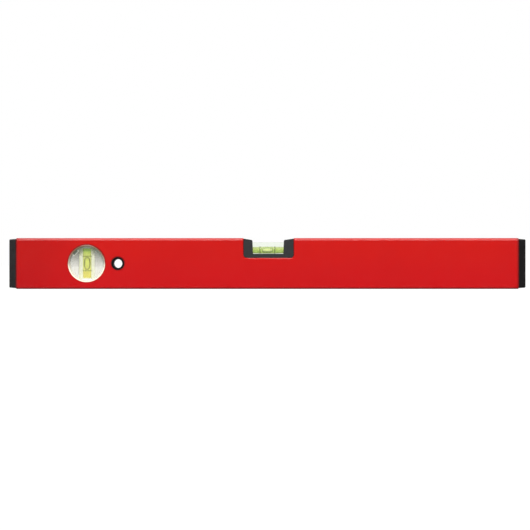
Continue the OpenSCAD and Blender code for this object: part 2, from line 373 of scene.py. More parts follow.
@dataclass(frozen=True)
class PowderCoat(Finish):
    """Satin powder coat: fine orange peel and a slightly uneven colour, with painted shade at its
    ends, its foot and round its fittings.

    Its colour goes from lower to upper between the heights foot and head, a painted shade that
    makes the top a little lighter. Painted shade fades in over shaded_end_line at the cut ends,
    shaded_foot_line at the foot, shaded_left_length at the left end and collar_shade_line round
    each fitting, all in millimetres, and a share says how much there is at most. The roughness
    stays at 0.27 or less, because the renderer's denoiser takes a rougher coat for a matt one and
    draws an outline where the two meet.
    """

    half_length: float
    collars: tuple[tuple[Vector, float], ...]
    name: str = "red_powder_coat"
    # upper and lower are lit and shaded tones of the coat: a painted shade that makes the top a little
    # lighter.
    upper: Colour = display(210, 14, 7)
    lower: Colour = display(206, 5, 13)
    cloud: Colour = display(200, 7, 11)
    # Colour of the painted shade at the cut ends, the foot, the left end and round the fittings.
    painted_shade_colour: Colour = display(96, 8, 10)
    roughness: Span = (0.24, 0.27)
    gloss: float = 0.42
    foot: float = 4.0
    head: float = 45.0
    shaded_foot_line: float = 2.2
    shaded_foot_share: float = 0.35
    shaded_end_line: float = 3.0
    shaded_end_share: float = 0.85
    collar_shade_line: float = 1.4
    collar_shade_share: Span = (0.22, 0.75)
    shaded_left_length: float = 80.0
    shaded_left_share: float = 0.2
    cloud_size: float = 38.0
    cloud_span: Span = (0.35, 0.75)
    cloud_share: float = 0.35
    rubbed_size: float = 38.0 / 3
    rubbed_span: Span = (0.3, 0.7)
    peel_size: float = 0.9
    peel_depth: float = 0.004

    def collar(self, shader: Shader, centre: Vector, radius: float) -> Socket:
        """Share of painted shade round a fitting, most above it, where the fitting's rim shades the coat.

        Args:
            shader: The graph under construction.
            centre: Middle of the fitting.
            radius: Radius of the fitting, in millimetres.

        Returns:
            The share of painted shade.
        """
        place = shader.moved(centre)
        near = shader.fade(shader.radius(place), radius * MM, (radius + self.collar_shade_line) * MM, 1.0, 0.0)
        above = shader.fade(shader.along(Axis.UP, place), -radius * MM, radius * MM, *self.collar_shade_share)
        return shader.math("MULTIPLY", near, above)

    def painted_shade(self, shader: Shader) -> Socket:
        """Share of painted shade, at the cut ends, the foot, the left end and round the fittings.

        Args:
            shader: The graph under construction.

        Returns:
            The share of painted shade.
        """
        along, up = shader.along(Axis.ALONG), shader.along(Axis.UP)
        end = self.half_length * MM
        reach = shader.math("ABSOLUTE", along)
        share = shader.fade(reach, end - self.shaded_end_line * MM, end, 0.0, self.shaded_end_share)
        others = [
            shader.fade(up, 0.0, self.shaded_foot_line * MM, self.shaded_foot_share, 0.0),
            shader.fade(along, -end, -end + self.shaded_left_length * MM, self.shaded_left_share, 0.0),
        ]
        others += [self.collar(shader, *collar) for collar in self.collars]
        for other in others:
            share = shader.math("MAXIMUM", share, other)
        return share

    def material(self) -> Material:
        """Makes the coat's node material.

        Returns:
            The material.
        """
        shader = Shader(self.name)
        # Painted shade: the coat is a little lighter towards the top.
        rise = shader.fade(shader.along(Axis.UP), self.foot * MM, self.head * MM)
        shaded_upright = shader.mix(rise, self.lower, self.upper)
        clouds = shader.fade(shader.noise(self.cloud_size), *self.cloud_span, 0.0, self.cloud_share)
        unshaded = shader.mix(clouds, shaded_upright, self.cloud)
        peel = shader.noise(self.peel_size, 1.0)
        rubbed = shader.fade(shader.noise(self.rubbed_size, 4.0), *self.rubbed_span, *self.roughness)
        shader.set(
            # Painted shade at the cut ends, the foot, the left end and round the fittings.
            Base_Color=shader.mix(self.painted_shade(shader), unshaded, self.painted_shade_colour),
            Roughness=rubbed,
            Specular_IOR_Level=self.gloss,
            Normal=shader.bump(peel, self.peel_depth),
        )
        return shader.material


@dataclass(frozen=True)
class MouldedPlastic(Finish):
    """Opaque moulded plastic with the fine grain of an eroded mould, rubbed smoother in places."""

    name: str
    colour: Colour
    rubbed: Colour
    roughness: Span = (0.42, 0.58)
    grain_size: float = 0.35
    grain_depth: float = 0.02
    patch_size: float = 9.0
    patch_span: Span = (0.35, 0.7)
    gloss: float = 0.5

    def material(self) -> Material:
        """Makes the plastic's node material.

        Returns:
            The material.
        """
        shader = Shader(self.name)
        patches = shader.fade(shader.noise(self.patch_size, 3.0), *self.patch_span)
        shader.set(
            Base_Color=shader.mix(patches, self.colour, self.rubbed),
            Roughness=shader.fade(patches, 0.0, 1.0, *reversed(self.roughness)),
            Specular_IOR_Level=self.gloss,
            Normal=shader.bump(shader.noise(self.grain_size, 1.0), self.grain_depth),
        )
        return shader.material


@dataclass(frozen=True)
class ClearAcrylic(Finish):
    """Clear plastic that lets most light through and closes up where it is seen edge on.

    haze is how solid it is where it faces the eye, and edge where it is seen edge on.
    """

    name: str
    tint: Colour
    haze: float
    edge: float
    passing: Colour = (1.0, 1.0, 1.0)
    roughness: float = 0.08
    blend: float = 0.35
    haze_start: float = 0.1
    streak_size: float = 6.0
    streak_depth: float = 0.01
    streak_span: Span = (0.35, 0.65)
    streak_gain: float = 1.12

    def material(self) -> Material:
        """Makes the acrylic's node material.

        Returns:
            The material.
        """
        shader = Shader(self.name)
        facing = shader.add("ShaderNodeLayerWeight", {"Blend": self.blend}).outputs["Facing"]
        wave = shader.noise(self.streak_size, 1.0)
        haze = shader.fade(facing, self.haze_start, 1.0, self.haze, self.edge)
        pale = tuple(min(1.0, part * self.streak_gain) for part in self.tint)
        shader.set(
            Base_Color=shader.mix(shader.fade(wave, *self.streak_span), self.tint, pale),
            Roughness=self.roughness,
            Normal=shader.bump(wave, self.streak_depth),
        )
        return shader.see_through(haze, (*self.passing, 1)).material


@dataclass(frozen=True)
class LatchFoot:
    """Where a latch stands on its window: its turn in degrees, and its place and size in millimetres."""

    angle: float
    out: float
    width: float
    thickness: float


@dataclass(frozen=True)
class ShellPlastic(Finish):
    """Clear shell plastic of a round vial, painted with light and shade: grey beside the vial and
    darker towards the top, dark under the top of its rim, and light towards the bottom.

    Its layers are the painted shade beside the vial, the painted shade over the upper window, the
    crescent of painted shade under the top of the rim, the wall seen through the window as a ring
    darkened by painted shade in its upper half, a latch's foot in painted shade with a painted
    highlight framing it, and the rim, painted light with a painted glow at the bottom and shaded at
    the top, with its shaded foot. A haze is how solid a layer is. A climb is a span of
    heights above the vial's centre, in shares of the window's radius, and an edge is a span of
    millimetres past the edge that it is named after.
    """

    name: str
    centre: Vector
    vial_half: float
    window_r: float
    rim_r: float
    latch: LatchFoot
    # The colours below are painted light and shade: glow and the rim's low colour are painted light, the
    # rest painted shade.
    shade: Colour = display(112, 120, 98)
    glow: Colour = display(253, 253, 240)
    under_rim: Colour = display(98, 110, 78)
    upper_shade: Colour = display(142, 152, 128)
    rim_shaded_top: Colour = display(156, 118, 92)
    rim_foot: Colour = display(126, 62, 52)
    rim_lit_low: Colour = display(255, 248, 228)
    clear: float = 0.04
    flank_shade_haze: Span = (0.2, 0.38)
    shade_climb: Span = (-0.55, 0.95)
    flank_edge: Span = (-0.4, 0.9)
    crescent_haze: float = 0.42
    crescent_shift: tuple[float, float] = (0.9, 2.2)
    crescent_edge: Span = (-0.5, 1.4)
    upper_shade_haze: float = 0.5
    upper_shade_climb: Span = (0.3, 0.95)
    upper_shade_start: Span = (0.54, 0.62)
    rim_haze: float = 0.85
    rim_climb: Span = (-0.5, 0.75)
    rim_edge: Span = (-0.2, 0.3)
    rim_foot_edge: Span = (-0.7, -0.2)
    rim_foot_span: Span = (0.15, 0.5)
    # Strength of the painted glow along the bottom of the rim.
    rim_painted_glow: float = 0.3
    rim_painted_glow_end: float = 0.55
    wall_haze: float = 0.3
    wall_share: float = 0.6
    wall_inset: float = 0.9
    wall_half: float = 0.3
    wall_soft: float = 0.4
    latch_haze: float = 0.22
    frame_haze: float = 0.5
    frame_highlight_share: float = 0.7
    frame_width: float = 0.7
    streak_size: float = 3.2
    streak_span: Span = (0.3, 0.7)
    streak_share: float = 0.12
    roughness: float = 0.12

    def past(self, shader: Shader, value: Socket, edge: float, span: Span) -> Socket:
        """Step from 0 to 1 over a span past an edge.

        Args:
            shader: The graph under construction.
            value: What is measured, in metres.
            edge: Where the edge lies, in millimetres.
            span: Millimetres from the edge to the start and to the end of the step.

        Returns:
            The share.
        """
        return shader.fade(value, (edge + span[0]) * MM, (edge + span[1]) * MM)

    def climb(self, shader: Shader, up: Socket, span: Span) -> Socket:
        """Step from 0 to 1 over a span of heights.

        Args:
            shader: The graph under construction.
            up: Height above the centre of the vial, in metres.
            span: Heights of its start and end, in shares of the window's radius.

        Returns:
            The share.
        """
        reach = self.window_r * MM
        return shader.fade(up, span[0] * reach, span[1] * reach)

    def band(
        self, shader: Shader, value: Value, middle: float, half: float, soft: float = 0.25
    ) -> Socket:
        """1 within half millimetres of a middle value, and 0 a soft step further out.

        Args:
            shader: The graph under construction.
            value: What is measured, in metres.
            middle: Middle of the band, in millimetres.
            half: Half its width.
            soft: Width of the step at either side.

        Returns:
            The share.
        """
        away = shader.math("ABSOLUTE", shader.math("SUBTRACT", value, middle * MM))
        return shader.fade(away, half * MM, (half + soft) * MM, 1.0, 0.0)

    def latch_pad(self, shader: Shader, place: Socket, grow: float) -> Socket:
        """1 over the slanted foot of a latch, grown by some millimetres.

        Args:
            shader: The graph under construction.
            place: Position measured from the centre of the vial.
            grow: Millimetres by which the foot is grown.

        Returns:
            The share.
        """
        latch = self.latch
        turn = {"Vector": place, "Angle": math.radians(latch.angle)}
        turned = shader.out("ShaderNodeVectorRotate", turn, rotation_type="Y_AXIS")
        across = self.band(shader, shader.along(Axis.ALONG, turned), latch.out, latch.thickness / 2 + grow)
        upwards = self.band(shader, shader.along(Axis.UP, turned), 0.0, latch.width / 2 + grow)
        return shader.math("MULTIPLY", across, upwards)

    def material(self) -> Material:
        """Makes the shell's node material.

        Returns:
            The material.
        """
        shader = Shader(self.name)
        place = shader.moved(self.centre)
        up, out = shader.along(Axis.UP, place), shader.radius(place)
        height = self.climb(shader, up, self.shade_climb)
        high_rim = self.climb(shader, up, self.rim_climb)
        rim = self.past(shader, out, self.window_r, self.rim_edge)
        rim_foot = self.past(shader, out, self.rim_r, self.rim_foot_edge)
        uneven = shader.noise(self.streak_size, 2.0, place)
        streaks = shader.fade(uneven, *self.streak_span, -self.streak_share, self.streak_share)
        # Painted shade over the upper window.
        upper_shade = self.climb(shader, up, self.upper_shade_climb)
        aside = shader.radius(place, self.crescent_shift)
        crescent = self.past(shader, aside, self.window_r, self.crescent_edge)
        # The wall seen through the window is a painted ring, darkened as painted shade in its upper half.
        near_wall = self.band(shader, out, self.window_r - self.wall_inset, self.wall_half, self.wall_soft)
        wall = shader.math("MULTIPLY", near_wall, height)
        # The latch's foot is painted shade, and the frame round it a painted highlight.
        foot = self.latch_pad(shader, place, 0.0)
        painted_highlight_frame = self.latch_pad(shader, place, self.frame_width)
        shaded_foot = shader.math("MULTIPLY", rim_foot, shader.fade(high_rim, *self.rim_foot_span))

        # Painted light and shade: the window is painted light at the bottom and shaded towards its top.
        colour = shader.mix(shader.math("ADD", height, streaks), self.glow, self.shade)
        # Layers of painted shade over the upper window, on the latch's foot, on the wall ring, under the
        # rim and at the rim's foot, a painted highlight round the latch, and the rim painted light at its
        # bottom and shaded at its top.
        layers = (
            (upper_shade, self.upper_shade),
            (shader.math("MULTIPLY", painted_highlight_frame, self.frame_highlight_share), self.glow),
            (foot, self.shade),
            (shader.math("MULTIPLY", wall, self.wall_share), self.shade),
            (crescent, self.under_rim),
            (rim, shader.mix(high_rim, self.rim_lit_low, self.rim_shaded_top)),
            (shaded_foot, self.rim_foot),
        )
        for share, layer in layers:
            colour = shader.mix(share, colour, layer)

        beside = shader.math("ABSOLUTE", shader.along(Axis.ALONG, place))
        flank = self.past(shader, beside, self.vial_half, self.flank_edge)
        outside = shader.fade(beside, *(share * self.vial_half * MM for share in self.upper_shade_start))
        haze = shader.math("MULTIPLY", flank, shader.fade(height, 0.0, 1.0, *self.flank_shade_haze))
        hazes = (
            (crescent, self.crescent_haze),
            (shader.math("MULTIPLY", upper_shade, outside), self.upper_shade_haze),
            (wall, self.wall_haze),
            (foot, self.latch_haze),
            (painted_highlight_frame, self.frame_haze),
            (rim, self.rim_haze),
        )
        for share, most in hazes:
            haze = shader.math("MAXIMUM", haze, shader.math("MULTIPLY", share, most))
        # A painted glow along the bottom of the rim, as emission.
        painted_rim_glow = shader.fade(high_rim, 0.0, self.rim_painted_glow_end, self.rim_painted_glow, 0.0)
        lit = shader.math("MULTIPLY", rim, painted_rim_glow)
        shader.set(
            Base_Color=colour,
            Alpha=shader.math("MAXIMUM", haze, self.clear),
            Roughness=self.roughness,
            Emission_Color=colour,
            Emission_Strength=lit,
        )
        return shader.material


@dataclass(frozen=True)
class VialFluid(Finish):
    """Fluorescent fluid whose colour changes from one level to another, painted light and shade, with a
    painted glow.

    Light crosses its surface twice, going in and coming out, so each crossing has half the tint.
    """

    name: str
    axis: Axis
    stops: Stops
    solid: float = 0.08
    glow: float = 0.2
    roughness: float = 0.08
    swirl: Colour = display(255, 255, 225)
    swirl_size: float = 2.5
    swirl_span: Span = (0.35, 0.65)
    swirl_share: float = 0.08

    def graded(self, shader: Shader, colours: Sequence[Colour]) -> Socket:
        """Colour that changes from one stop to the next.

        Args:
            shader: The graph under construction.
            colours: One colour per stop.

        Returns:
            The graded colour.
        """
        at = shader.along(self.axis)
        levels = [level for level, _ in self.stops]
        colour: Value = colours[0]
        for start, end, later in zip(levels, levels[1:], colours[1:]):
            colour = shader.mix(shader.fade(at, start * MM, end * MM), colour, later)
        return colour

    def material(self) -> Material:
        """Makes the fluid's node material.

        Returns:
            The material.
        """
        shader = Shader(self.name)
        seen = [colour for _, colour in self.stops]
        once = [tuple(math.sqrt(part) for part in colour) for colour in seen]
        # The colour graded by height is painted light and shade, and the emission a painted glow.
        colour = self.graded(shader, seen)
        swirls = shader.fade(shader.noise(self.swirl_size), *self.swirl_span, 0.0, self.swirl_share)
        shader.set(
            Base_Color=shader.mix(swirls, colour, self.swirl),
            Roughness=self.roughness,
            Emission_Color=colour,
            Emission_Strength=self.glow,
        )
        return shader.see_through(self.solid, self.graded(shader, once)).material


@dataclass(frozen=True)
class AirBubble(Finish):
    """Air in the fluid: bright where it faces the eye, with a dark outline where light bends away."""

    name: str
    heart: Colour
    outline: Colour
    solid: float = 0.8
    glow: float = 0.1
    line: Span = (0.14, 0.44)
    blend: float = 0.5
    roughness: float = 0.08

    def material(self) -> Material:
        """Makes the bubble's node material.

        Returns:
            The material.
        """
        shader = Shader(self.name)
        facing = shader.add("ShaderNodeLayerWeight", {"Blend": self.blend}).outputs["Facing"]
        edge = shader.fade(facing, *self.line)
        colour = shader.mix(edge, self.heart, self.outline)
        # The bright heart and dark outline are painted light and shade, and the emission a painted glow.
        shader.set(
            Base_Color=colour,
            Alpha=shader.fade(edge, 0.0, 1.0, self.solid, 1.0),
            Roughness=self.roughness,
            Emission_Color=colour,
            Emission_Strength=self.glow,
        )
        return shader.material


# ---------------------------------------------------------------- shaping


def arc(across: float, up: float, radius: float, start: float, end: float, steps: int = 8) -> Outline:
    """Points along an arc, from one angle to another in degrees.

    Args:
        across: First coordinate of the centre.
        up: Second coordinate of the centre.
        radius: Radius of the arc.
        start: Angle at which it starts.
        end: Angle at which it ends.
        steps: Chords along the arc.

    Returns:
        The points, both ends among them.
    """
    angles = [math.radians(start + (end - start) * i / steps) for i in range(steps + 1)]
    return [(across + radius * math.cos(a), up + radius * math.sin(a)) for a in angles]


def rounded_rect(width: float, height: float, radius: float, steps: int = 10) -> Outline:
    """Outline of a rectangle with round corners, centred on the origin.

    Args:
        width: Extent along the first coordinate.
        height: Extent along the second.
        radius: Radius of the corners.
        steps: Chords in each corner.

    Returns:
        The outline.
    """
    across, up = width / 2 - radius, height / 2 - radius
    corners = ((across, up, 0), (-across, up, 90), (-across, -up, 180), (across, -up, 270))
    return [p for x, y, turn in corners for p in arc(x, y, radius, turn, turn + 90, steps)]


def section(at: float, outline: Outline, centre: Vector) -> list[Vector]:
    """One cross-section at a distance along the level, its outline measured from a centre."""
    return [Vector((at, y, centre.z + z)) for y, z in outline]


class Solid:
    """A closed mesh under construction, in millimetres."""

    def __init__(self) -> None:
        """Starts with nothing."""
        self.mesh = bmesh.new()

    def _ring(self, points: Iterable[Vector]) -> list[bmesh.types.BMVert]:
        """Adds the corners of one ring."""
        return [self.mesh.verts.new(p) for p in points]

    def _skin(self, first: list[bmesh.types.BMVert], second: list[bmesh.types.BMVert]) -> None:
        """Joins two rings of as many corners, or a ring and a single corner, with faces.

        Args:
            first: Corners of a ring, or one corner.
            second: Corners of the next ring, or one corner.
        """
        count = max(len(first), len(second))
        for i in range(count):
            j = (i + 1) % count
            corners = [first[i % len(first)], first[j % len(first)]]
            corners += [second[j % len(second)], second[i % len(second)]]
            self.mesh.faces.new(list(dict.fromkeys(corners)))

    def loft(self, rings: Sequence[Sequence[Vector]], closed: bool = False) -> "Solid":
        """Skins a row of rings.

        Args:
            rings: Rings of as many points each, or of a single point.
            closed: Whether the last ring joins the first one, and not each end its own cap.

        Returns:
            This solid.
        """
        made = [self._ring(ring) for ring in rings]
        for first, second in zip(made, made[1:]):
            self._skin(first, second)
        if closed:
            self._skin(made[-1], made[0])
        else:
            for ring in (made[0], made[-1]):
                if len(ring) > 2:
                    self.mesh.faces.new(ring)
        return self

    def prism(self, outline: Outline, axis: Axis, low: float, high: float) -> "Solid":
        """Extrudes an outline along an axis."""
        return self.loft([[axis.point(at, *p) for p in outline] for at in (low, high)])

    def block(self, low: Vector, high: Vector) -> "Solid":
        """Adds a plain block.

        Args:
            low: Its lowest corner.
            high: Its highest corner.

        Returns:
            This solid.
        """
        outline = [(low.x, low.y), (high.x, low.y), (high.x, high.y), (low.x, high.y)]
        return self.prism(outline, Axis.UP, low.z, high.z)

    def turned(self, profile: Outline, axis: Axis, centre: Vector, steps: int = CIRCLE_SIDES) -> "Solid":
        """Turns a profile of radius and distance round an axis through centre.

        Args:
            profile: Pairs of radius and distance along the axis. One that starts and ends on
                the axis gives a closed solid, and any other is closed on itself.
            axis: The axis of the turning.
            centre: Where distances along the axis start.
            steps: Corners around.

        Returns:
            This solid.
        """
        angles = [2 * math.pi * i / steps for i in range(steps)]
        rings = []
        for radius, at in profile:
            around = angles if radius > 0 else angles[:1]
            ring = [axis.point(at, radius * math.cos(a), radius * math.sin(a)) for a in around]
            rings.append([centre + point for point in ring])
        return self.loft(rings, closed=len(rings[0]) > 1)

    def piece(self, name: str) -> Piece:
        """Makes the mesh an object, with its faces turned outwards.

        Args:
            name: Name of the object.

        Returns:
            The object, in the scene.
        """
        bmesh.ops.remove_doubles(self.mesh, verts=self.mesh.verts, dist=WELD_DISTANCE)
        bmesh.ops.recalc_face_normals(self.mesh, faces=self.mesh.faces)
        data = bpy.data.meshes.new(name)
        self.mesh.to_mesh(data)
        self.mesh.free()
        return link(bpy.data.objects.new(name, data))


def link(thing: Piece) -> Piece:
    """Puts an object into the scene."""
    bpy.context.scene.collection.objects.link(thing)
    return thing


def settle(piece: Piece) -> Piece:
    """Turns a piece and its modifiers into a plain mesh.

    Args:
        piece: The piece.

    Returns:
        The same piece.
    """
    graph = bpy.context.evaluated_depsgraph_get()
    done = piece.evaluated_get(graph)
    mesh = bpy.data.meshes.new_from_object(done, preserve_all_data_layers=True, depsgraph=graph)
    piece.modifiers.clear()
    old, piece.data = piece.data, mesh
    mesh.name = piece.name
    bpy.data.meshes.remove(old)
    return piece


def combine(piece: Piece, solid: Solid, operation: str = "DIFFERENCE") -> Piece:
    """Cuts a solid out of a piece, or unites it with the piece.

    Args:
        piece: The piece that stays.
        solid: The solid, which is used up.
        operation: DIFFERENCE or UNION.

    Returns:
        The piece, as a plain mesh.
    """
    other = solid.piece("cutter")
    modifier = piece.modifiers.new("combine", "BOOLEAN")
    modifier.operation, modifier.solver, modifier.object = operation, "EXACT", other
    settle(piece)
    bpy.data.objects.remove(other)
    return piece


def round_edges(piece: Piece, radius: float, steps: int = 3, angle: float = 30) -> Piece:
    """Rounds a piece's sharp edges and shades it smooth.

    Args:
        piece: A piece in millimetres.
        radius: How far from an edge its rounding starts.
        steps: Facets across the rounding.
        angle: Least turn between faces that counts as an edge, in degrees.

    Returns:
        The piece, as a plain mesh.
    """
    for polygon in piece.data.polygons:
        polygon.use_smooth = True
    bevel = piece.modifiers.new("edges", "BEVEL")
    bevel.width, bevel.segments, bevel.angle_limit = radius, steps, math.radians(angle)
    bevel.limit_method, bevel.use_clamp_overlap = "ANGLE", False
    weighted = piece.modifiers.new("flats", "WEIGHTED_NORMAL")
    weighted.keep_sharp, weighted.weight = True, 90
    return settle(piece)


def finished(
    piece: Piece, materials: Sequence[Material], nodes: Sequence[str], body: str = LEVEL_BODY
) -> Piece:
    """Brings a shaped piece into the frame.

    Args:
        piece: A piece in millimetres, in place.
        materials: Its materials, in the order of its faces' numbers.
        nodes: The solids that it stands for.
        body: The body that carries it.

    Returns:
        The piece, in metres.
    """
    piece.data.transform(Matrix.Scale(MM, 4))
    piece.data.materials.clear()
    for material in materials:
        piece.data.materials.append(material)
    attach(piece, body)
    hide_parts(*nodes)
    faces = len(piece.data.polygons)
    log.info("%s: %d faces, stands for %s on %s", piece.name, faces, ", ".join(nodes), body)
    return piece


def redress(node: str, material: Material) -> None:
    """Gives a solid whose shape is right its finish.

    Args:
        node: Name of the solid.
        material: Its new material.
    """
    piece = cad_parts[node]
    if not piece.data.materials:
        piece.data.materials.append(material)
    for slot in piece.material_slots:
        slot.material = material
    log.info("%s: keeps its solid, finished in %s", node, material.name)


def number_faces(piece: Piece, rule: Callable[[Vector], int]) -> None:
    """Gives each face the material number that a rule finds for its centre.

    Args:
        piece: A piece in millimetres.
        rule: Gives the number for a face's centre.
    """
    for polygon in piece.data.polygons:
        polygon.material_index = rule(polygon.center)


# ---------------------------------------------------------------- geometry nodes


class GeometryTree(NodeBuilder):
    """A Geometry Nodes group under construction, in millimetres, with a named input per size."""

    def __init__(self, name: str) -> None:
        """Starts a group with a Geometry input, a Material input and a Geometry output.

        Args:
            name: Name of the group.
        """
        super().__init__(bpy.data.node_groups.new(name, "GeometryNodeTree"))
        for way in ("INPUT", "OUTPUT"):
            self.tree.interface.new_socket("Geometry", in_out=way, socket_type="NodeSocketGeometry")
        self.source = self.add("NodeGroupInput")
        self.target = self.add("NodeGroupOutput")
        self.finish = self.input("Finish", "Material")

    def input(self, name: str, kind: str = "Float") -> Socket:
        """Adds a named input to the group.

        Args:
            name: Name of the input.
            kind: Blender's name for its type.

        Returns:
            The socket that gives its value.
        """
        self.tree.interface.new_socket(name, in_out="INPUT", socket_type=f"NodeSocket{kind}")
        return self.source.outputs[name]

    def vector(self, across: Value = 0.0, depth: Value = 0.0, up: Value = 0.0) -> Socket:
        """Vector made of three values."""
        return self.out("ShaderNodeCombineXYZ", {0: across, 1: depth, 2: up})

    def end(self, geometry: Socket) -> "GeometryTree":
        """Ends the group: everything made real, in one material.

        Args:
            geometry: What the group has made.

        Returns:
            This group.
        """
        real = self.out("GeometryNodeRealizeInstances", {0: geometry})
        coated = self.out("GeometryNodeSetMaterial", {"Geometry": real, "Material": self.finish})
        self.feed(self.target.inputs["Geometry"], coated)
        return self

    def run(self, piece: Piece, values: Sizes) -> Piece:
        """Runs the group on a piece and leaves a plain mesh.

        Args:
            piece: The piece that the group works on.
            values: The group's inputs by name.

        Returns:
            The piece.
        """
        modifier = piece.modifiers.new(self.tree.name, "NODES")
        modifier.node_group = self.tree
        # A modifier takes the group's inputs by identifier, not by name.
        for item in self.tree.interface.items_tree:
            if item.in_out == "INPUT" and item.name in values:
                modifier[item.identifier] = values[item.name]
        return settle(piece)


RadiusRule = Callable[[GeometryTree, Socket], Socket]


def swept_round(name: str, radius_rule: RadiusRule) -> GeometryTree:
    """Group that sweeps a circle from Low to High along Z, with a radius that follows a rule.

    Args:
        name: Name of the group.
        radius_rule: Adds the rule's nodes and returns the radius at a height.

    Returns:
        The group.
    """
    tree = GeometryTree(name)
    low, high = tree.input("Low"), tree.input("High")
    steps, sides = tree.input("Steps", "Int"), tree.input("Sides", "Int")
    ends = {"Start": tree.vector(up=low), "End": tree.vector(up=high)}
    line = tree.out("GeometryNodeCurvePrimitiveLine", ends)
    path = tree.out("GeometryNodeResampleCurve", {"Curve": line, "Count": steps})
    height = tree.part(Axis.UP, tree.out("GeometryNodeInputPosition"))
    circle = tree.out("GeometryNodeCurvePrimitiveCircle", {"Resolution": sides, "Radius": 1.0})
    skin = {"Curve": path, "Profile Curve": circle, "Scale": radius_rule(tree, height), "Fill Caps": True}
    return tree.end(tree.out("GeometryNodeCurveToMesh", skin))


def barrel_rule(tree: GeometryTree, height: Socket) -> Socket:
    """Radius of a barrel bore: Middle Radius less the drop of a wide arc.

    Args:
        tree: The group under construction.
        height: Distance from the middle of the bore.

    Returns:
        The radius there.
    """
    middle, arc_radius = tree.input("Middle Radius"), tree.input("Arc Radius")
    square, twice = tree.math("MULTIPLY", height, height), tree.math("MULTIPLY", arc_radius, 2.0)
    return tree.math("SUBTRACT", middle, tree.math("DIVIDE", square, twice))


def bubble_rule(tree: GeometryTree, height: Socket) -> Socket:
    """Radius of a bubble: a superellipse of Half Length by Middle Radius.

    Args:
        tree: The group under construction.
        height: Distance from the middle of the bubble.

    Returns:
        The radius there.
    """
    half, middle, power = tree.input("Half Length"), tree.input("Middle Radius"), tree.input("Fullness")
    share = tree.math("MINIMUM", tree.math("DIVIDE", tree.math("ABSOLUTE", height), half), 1.0)
    # The ends keep a trace of width, because a ring of no size has no normals.
    left = tree.math("MAXIMUM", tree.math("SUBTRACT", 1.0, tree.math("POWER", share, power)), 1e-6)
    return tree.math("MULTIPLY", middle, tree.math("POWER", left, tree.math("DIVIDE", 1.0, power)))


def row_of(tree: GeometryTree, shape: Socket, count: Value, start: Socket, pitch: Value) -> Socket:
    """Adds a row of one shape, upwards from a start.

    Args:
        tree: The group under construction.
        shape: The shape that repeats.
        count: How many there are.
        start: Place of the lowest one.
        pitch: Distance from one to the next.

    Returns:
        The row's geometry.
    """
    places = {"Count": count, "Start Location": start, "Offset": tree.vector(up=pitch)}
    spots = tree.out("GeometryNodeMeshLine", places)
    return tree.out("GeometryNodeInstanceOnPoints", {"Points": spots, "Instance": shape})


def ring_pair_tree() -> GeometryTree:
    """Group that makes two square-edged rings, Gap apart along Z.

    Returns:
        The group.
    """
    tree = GeometryTree("reading_rings")
    radius, gap = tree.input("Radius"), tree.input("Gap")
    width, thickness = tree.input("Width"), tree.input("Thickness")
    path = tree.out("GeometryNodeCurvePrimitiveCircle", {"Resolution": CIRCLE_SIDES, "Radius": radius})
    square = tree.out("GeometryNodeCurvePrimitiveQuadrilateral", {"Width": thickness, "Height": width})
    ring = tree.out("GeometryNodeCurveToMesh", {"Curve": path, "Profile Curve": square, "Scale": 1.0})
    return tree.end(row_of(tree, ring, 2, tree.vector(up=tree.math("MULTIPLY", gap, -0.5)), gap))


def crush_rib_tree() -> GeometryTree:
    """Group that adds ribs along X to a plug: Count on each broad side, and one above and below.

    Returns:
        The group.
    """
    tree = GeometryTree("crush_ribs")
    length, width, rise = tree.input("Length"), tree.input("Width"), tree.input("Rise")
    half_depth, half_height = tree.input("Half Depth"), tree.input("Half Height")
    middle, pitch, count = tree.input("Middle"), tree.input("Pitch"), tree.input("Count", "Int")
    centre = tree.input("Centre Height")
    flat_rib = tree.out("GeometryNodeMeshCube", {"Size": tree.vector(length, rise, width)})
    edge_rib = tree.out("GeometryNodeMeshCube", {"Size": tree.vector(length, width, rise)})
    span = tree.math("MULTIPLY", tree.math("SUBTRACT", count, 1.0), pitch)
    foot = tree.math("SUBTRACT", centre, tree.math("MULTIPLY", span, 0.5))
    low = tree.math("SUBTRACT", centre, half_height)
    apart = tree.math("MULTIPLY", half_height, 2.0)
    ribs = [row_of(tree, edge_rib, 2, tree.vector(middle, 0.0, low), apart)]
    for side in Side:
        start = tree.vector(middle, tree.math("MULTIPLY", half_depth, float(side.value)), foot)
        ribs.append(row_of(tree, flat_rib, count, start, pitch))
    joined = tree.add("GeometryNodeJoinGeometry")
    for rib in [*ribs, tree.source.outputs["Geometry"]]:
        tree.feed(joined.inputs[0], rib)
    return tree.end(joined.outputs[0])


# ---------------------------------------------------------------- sub-assemblies


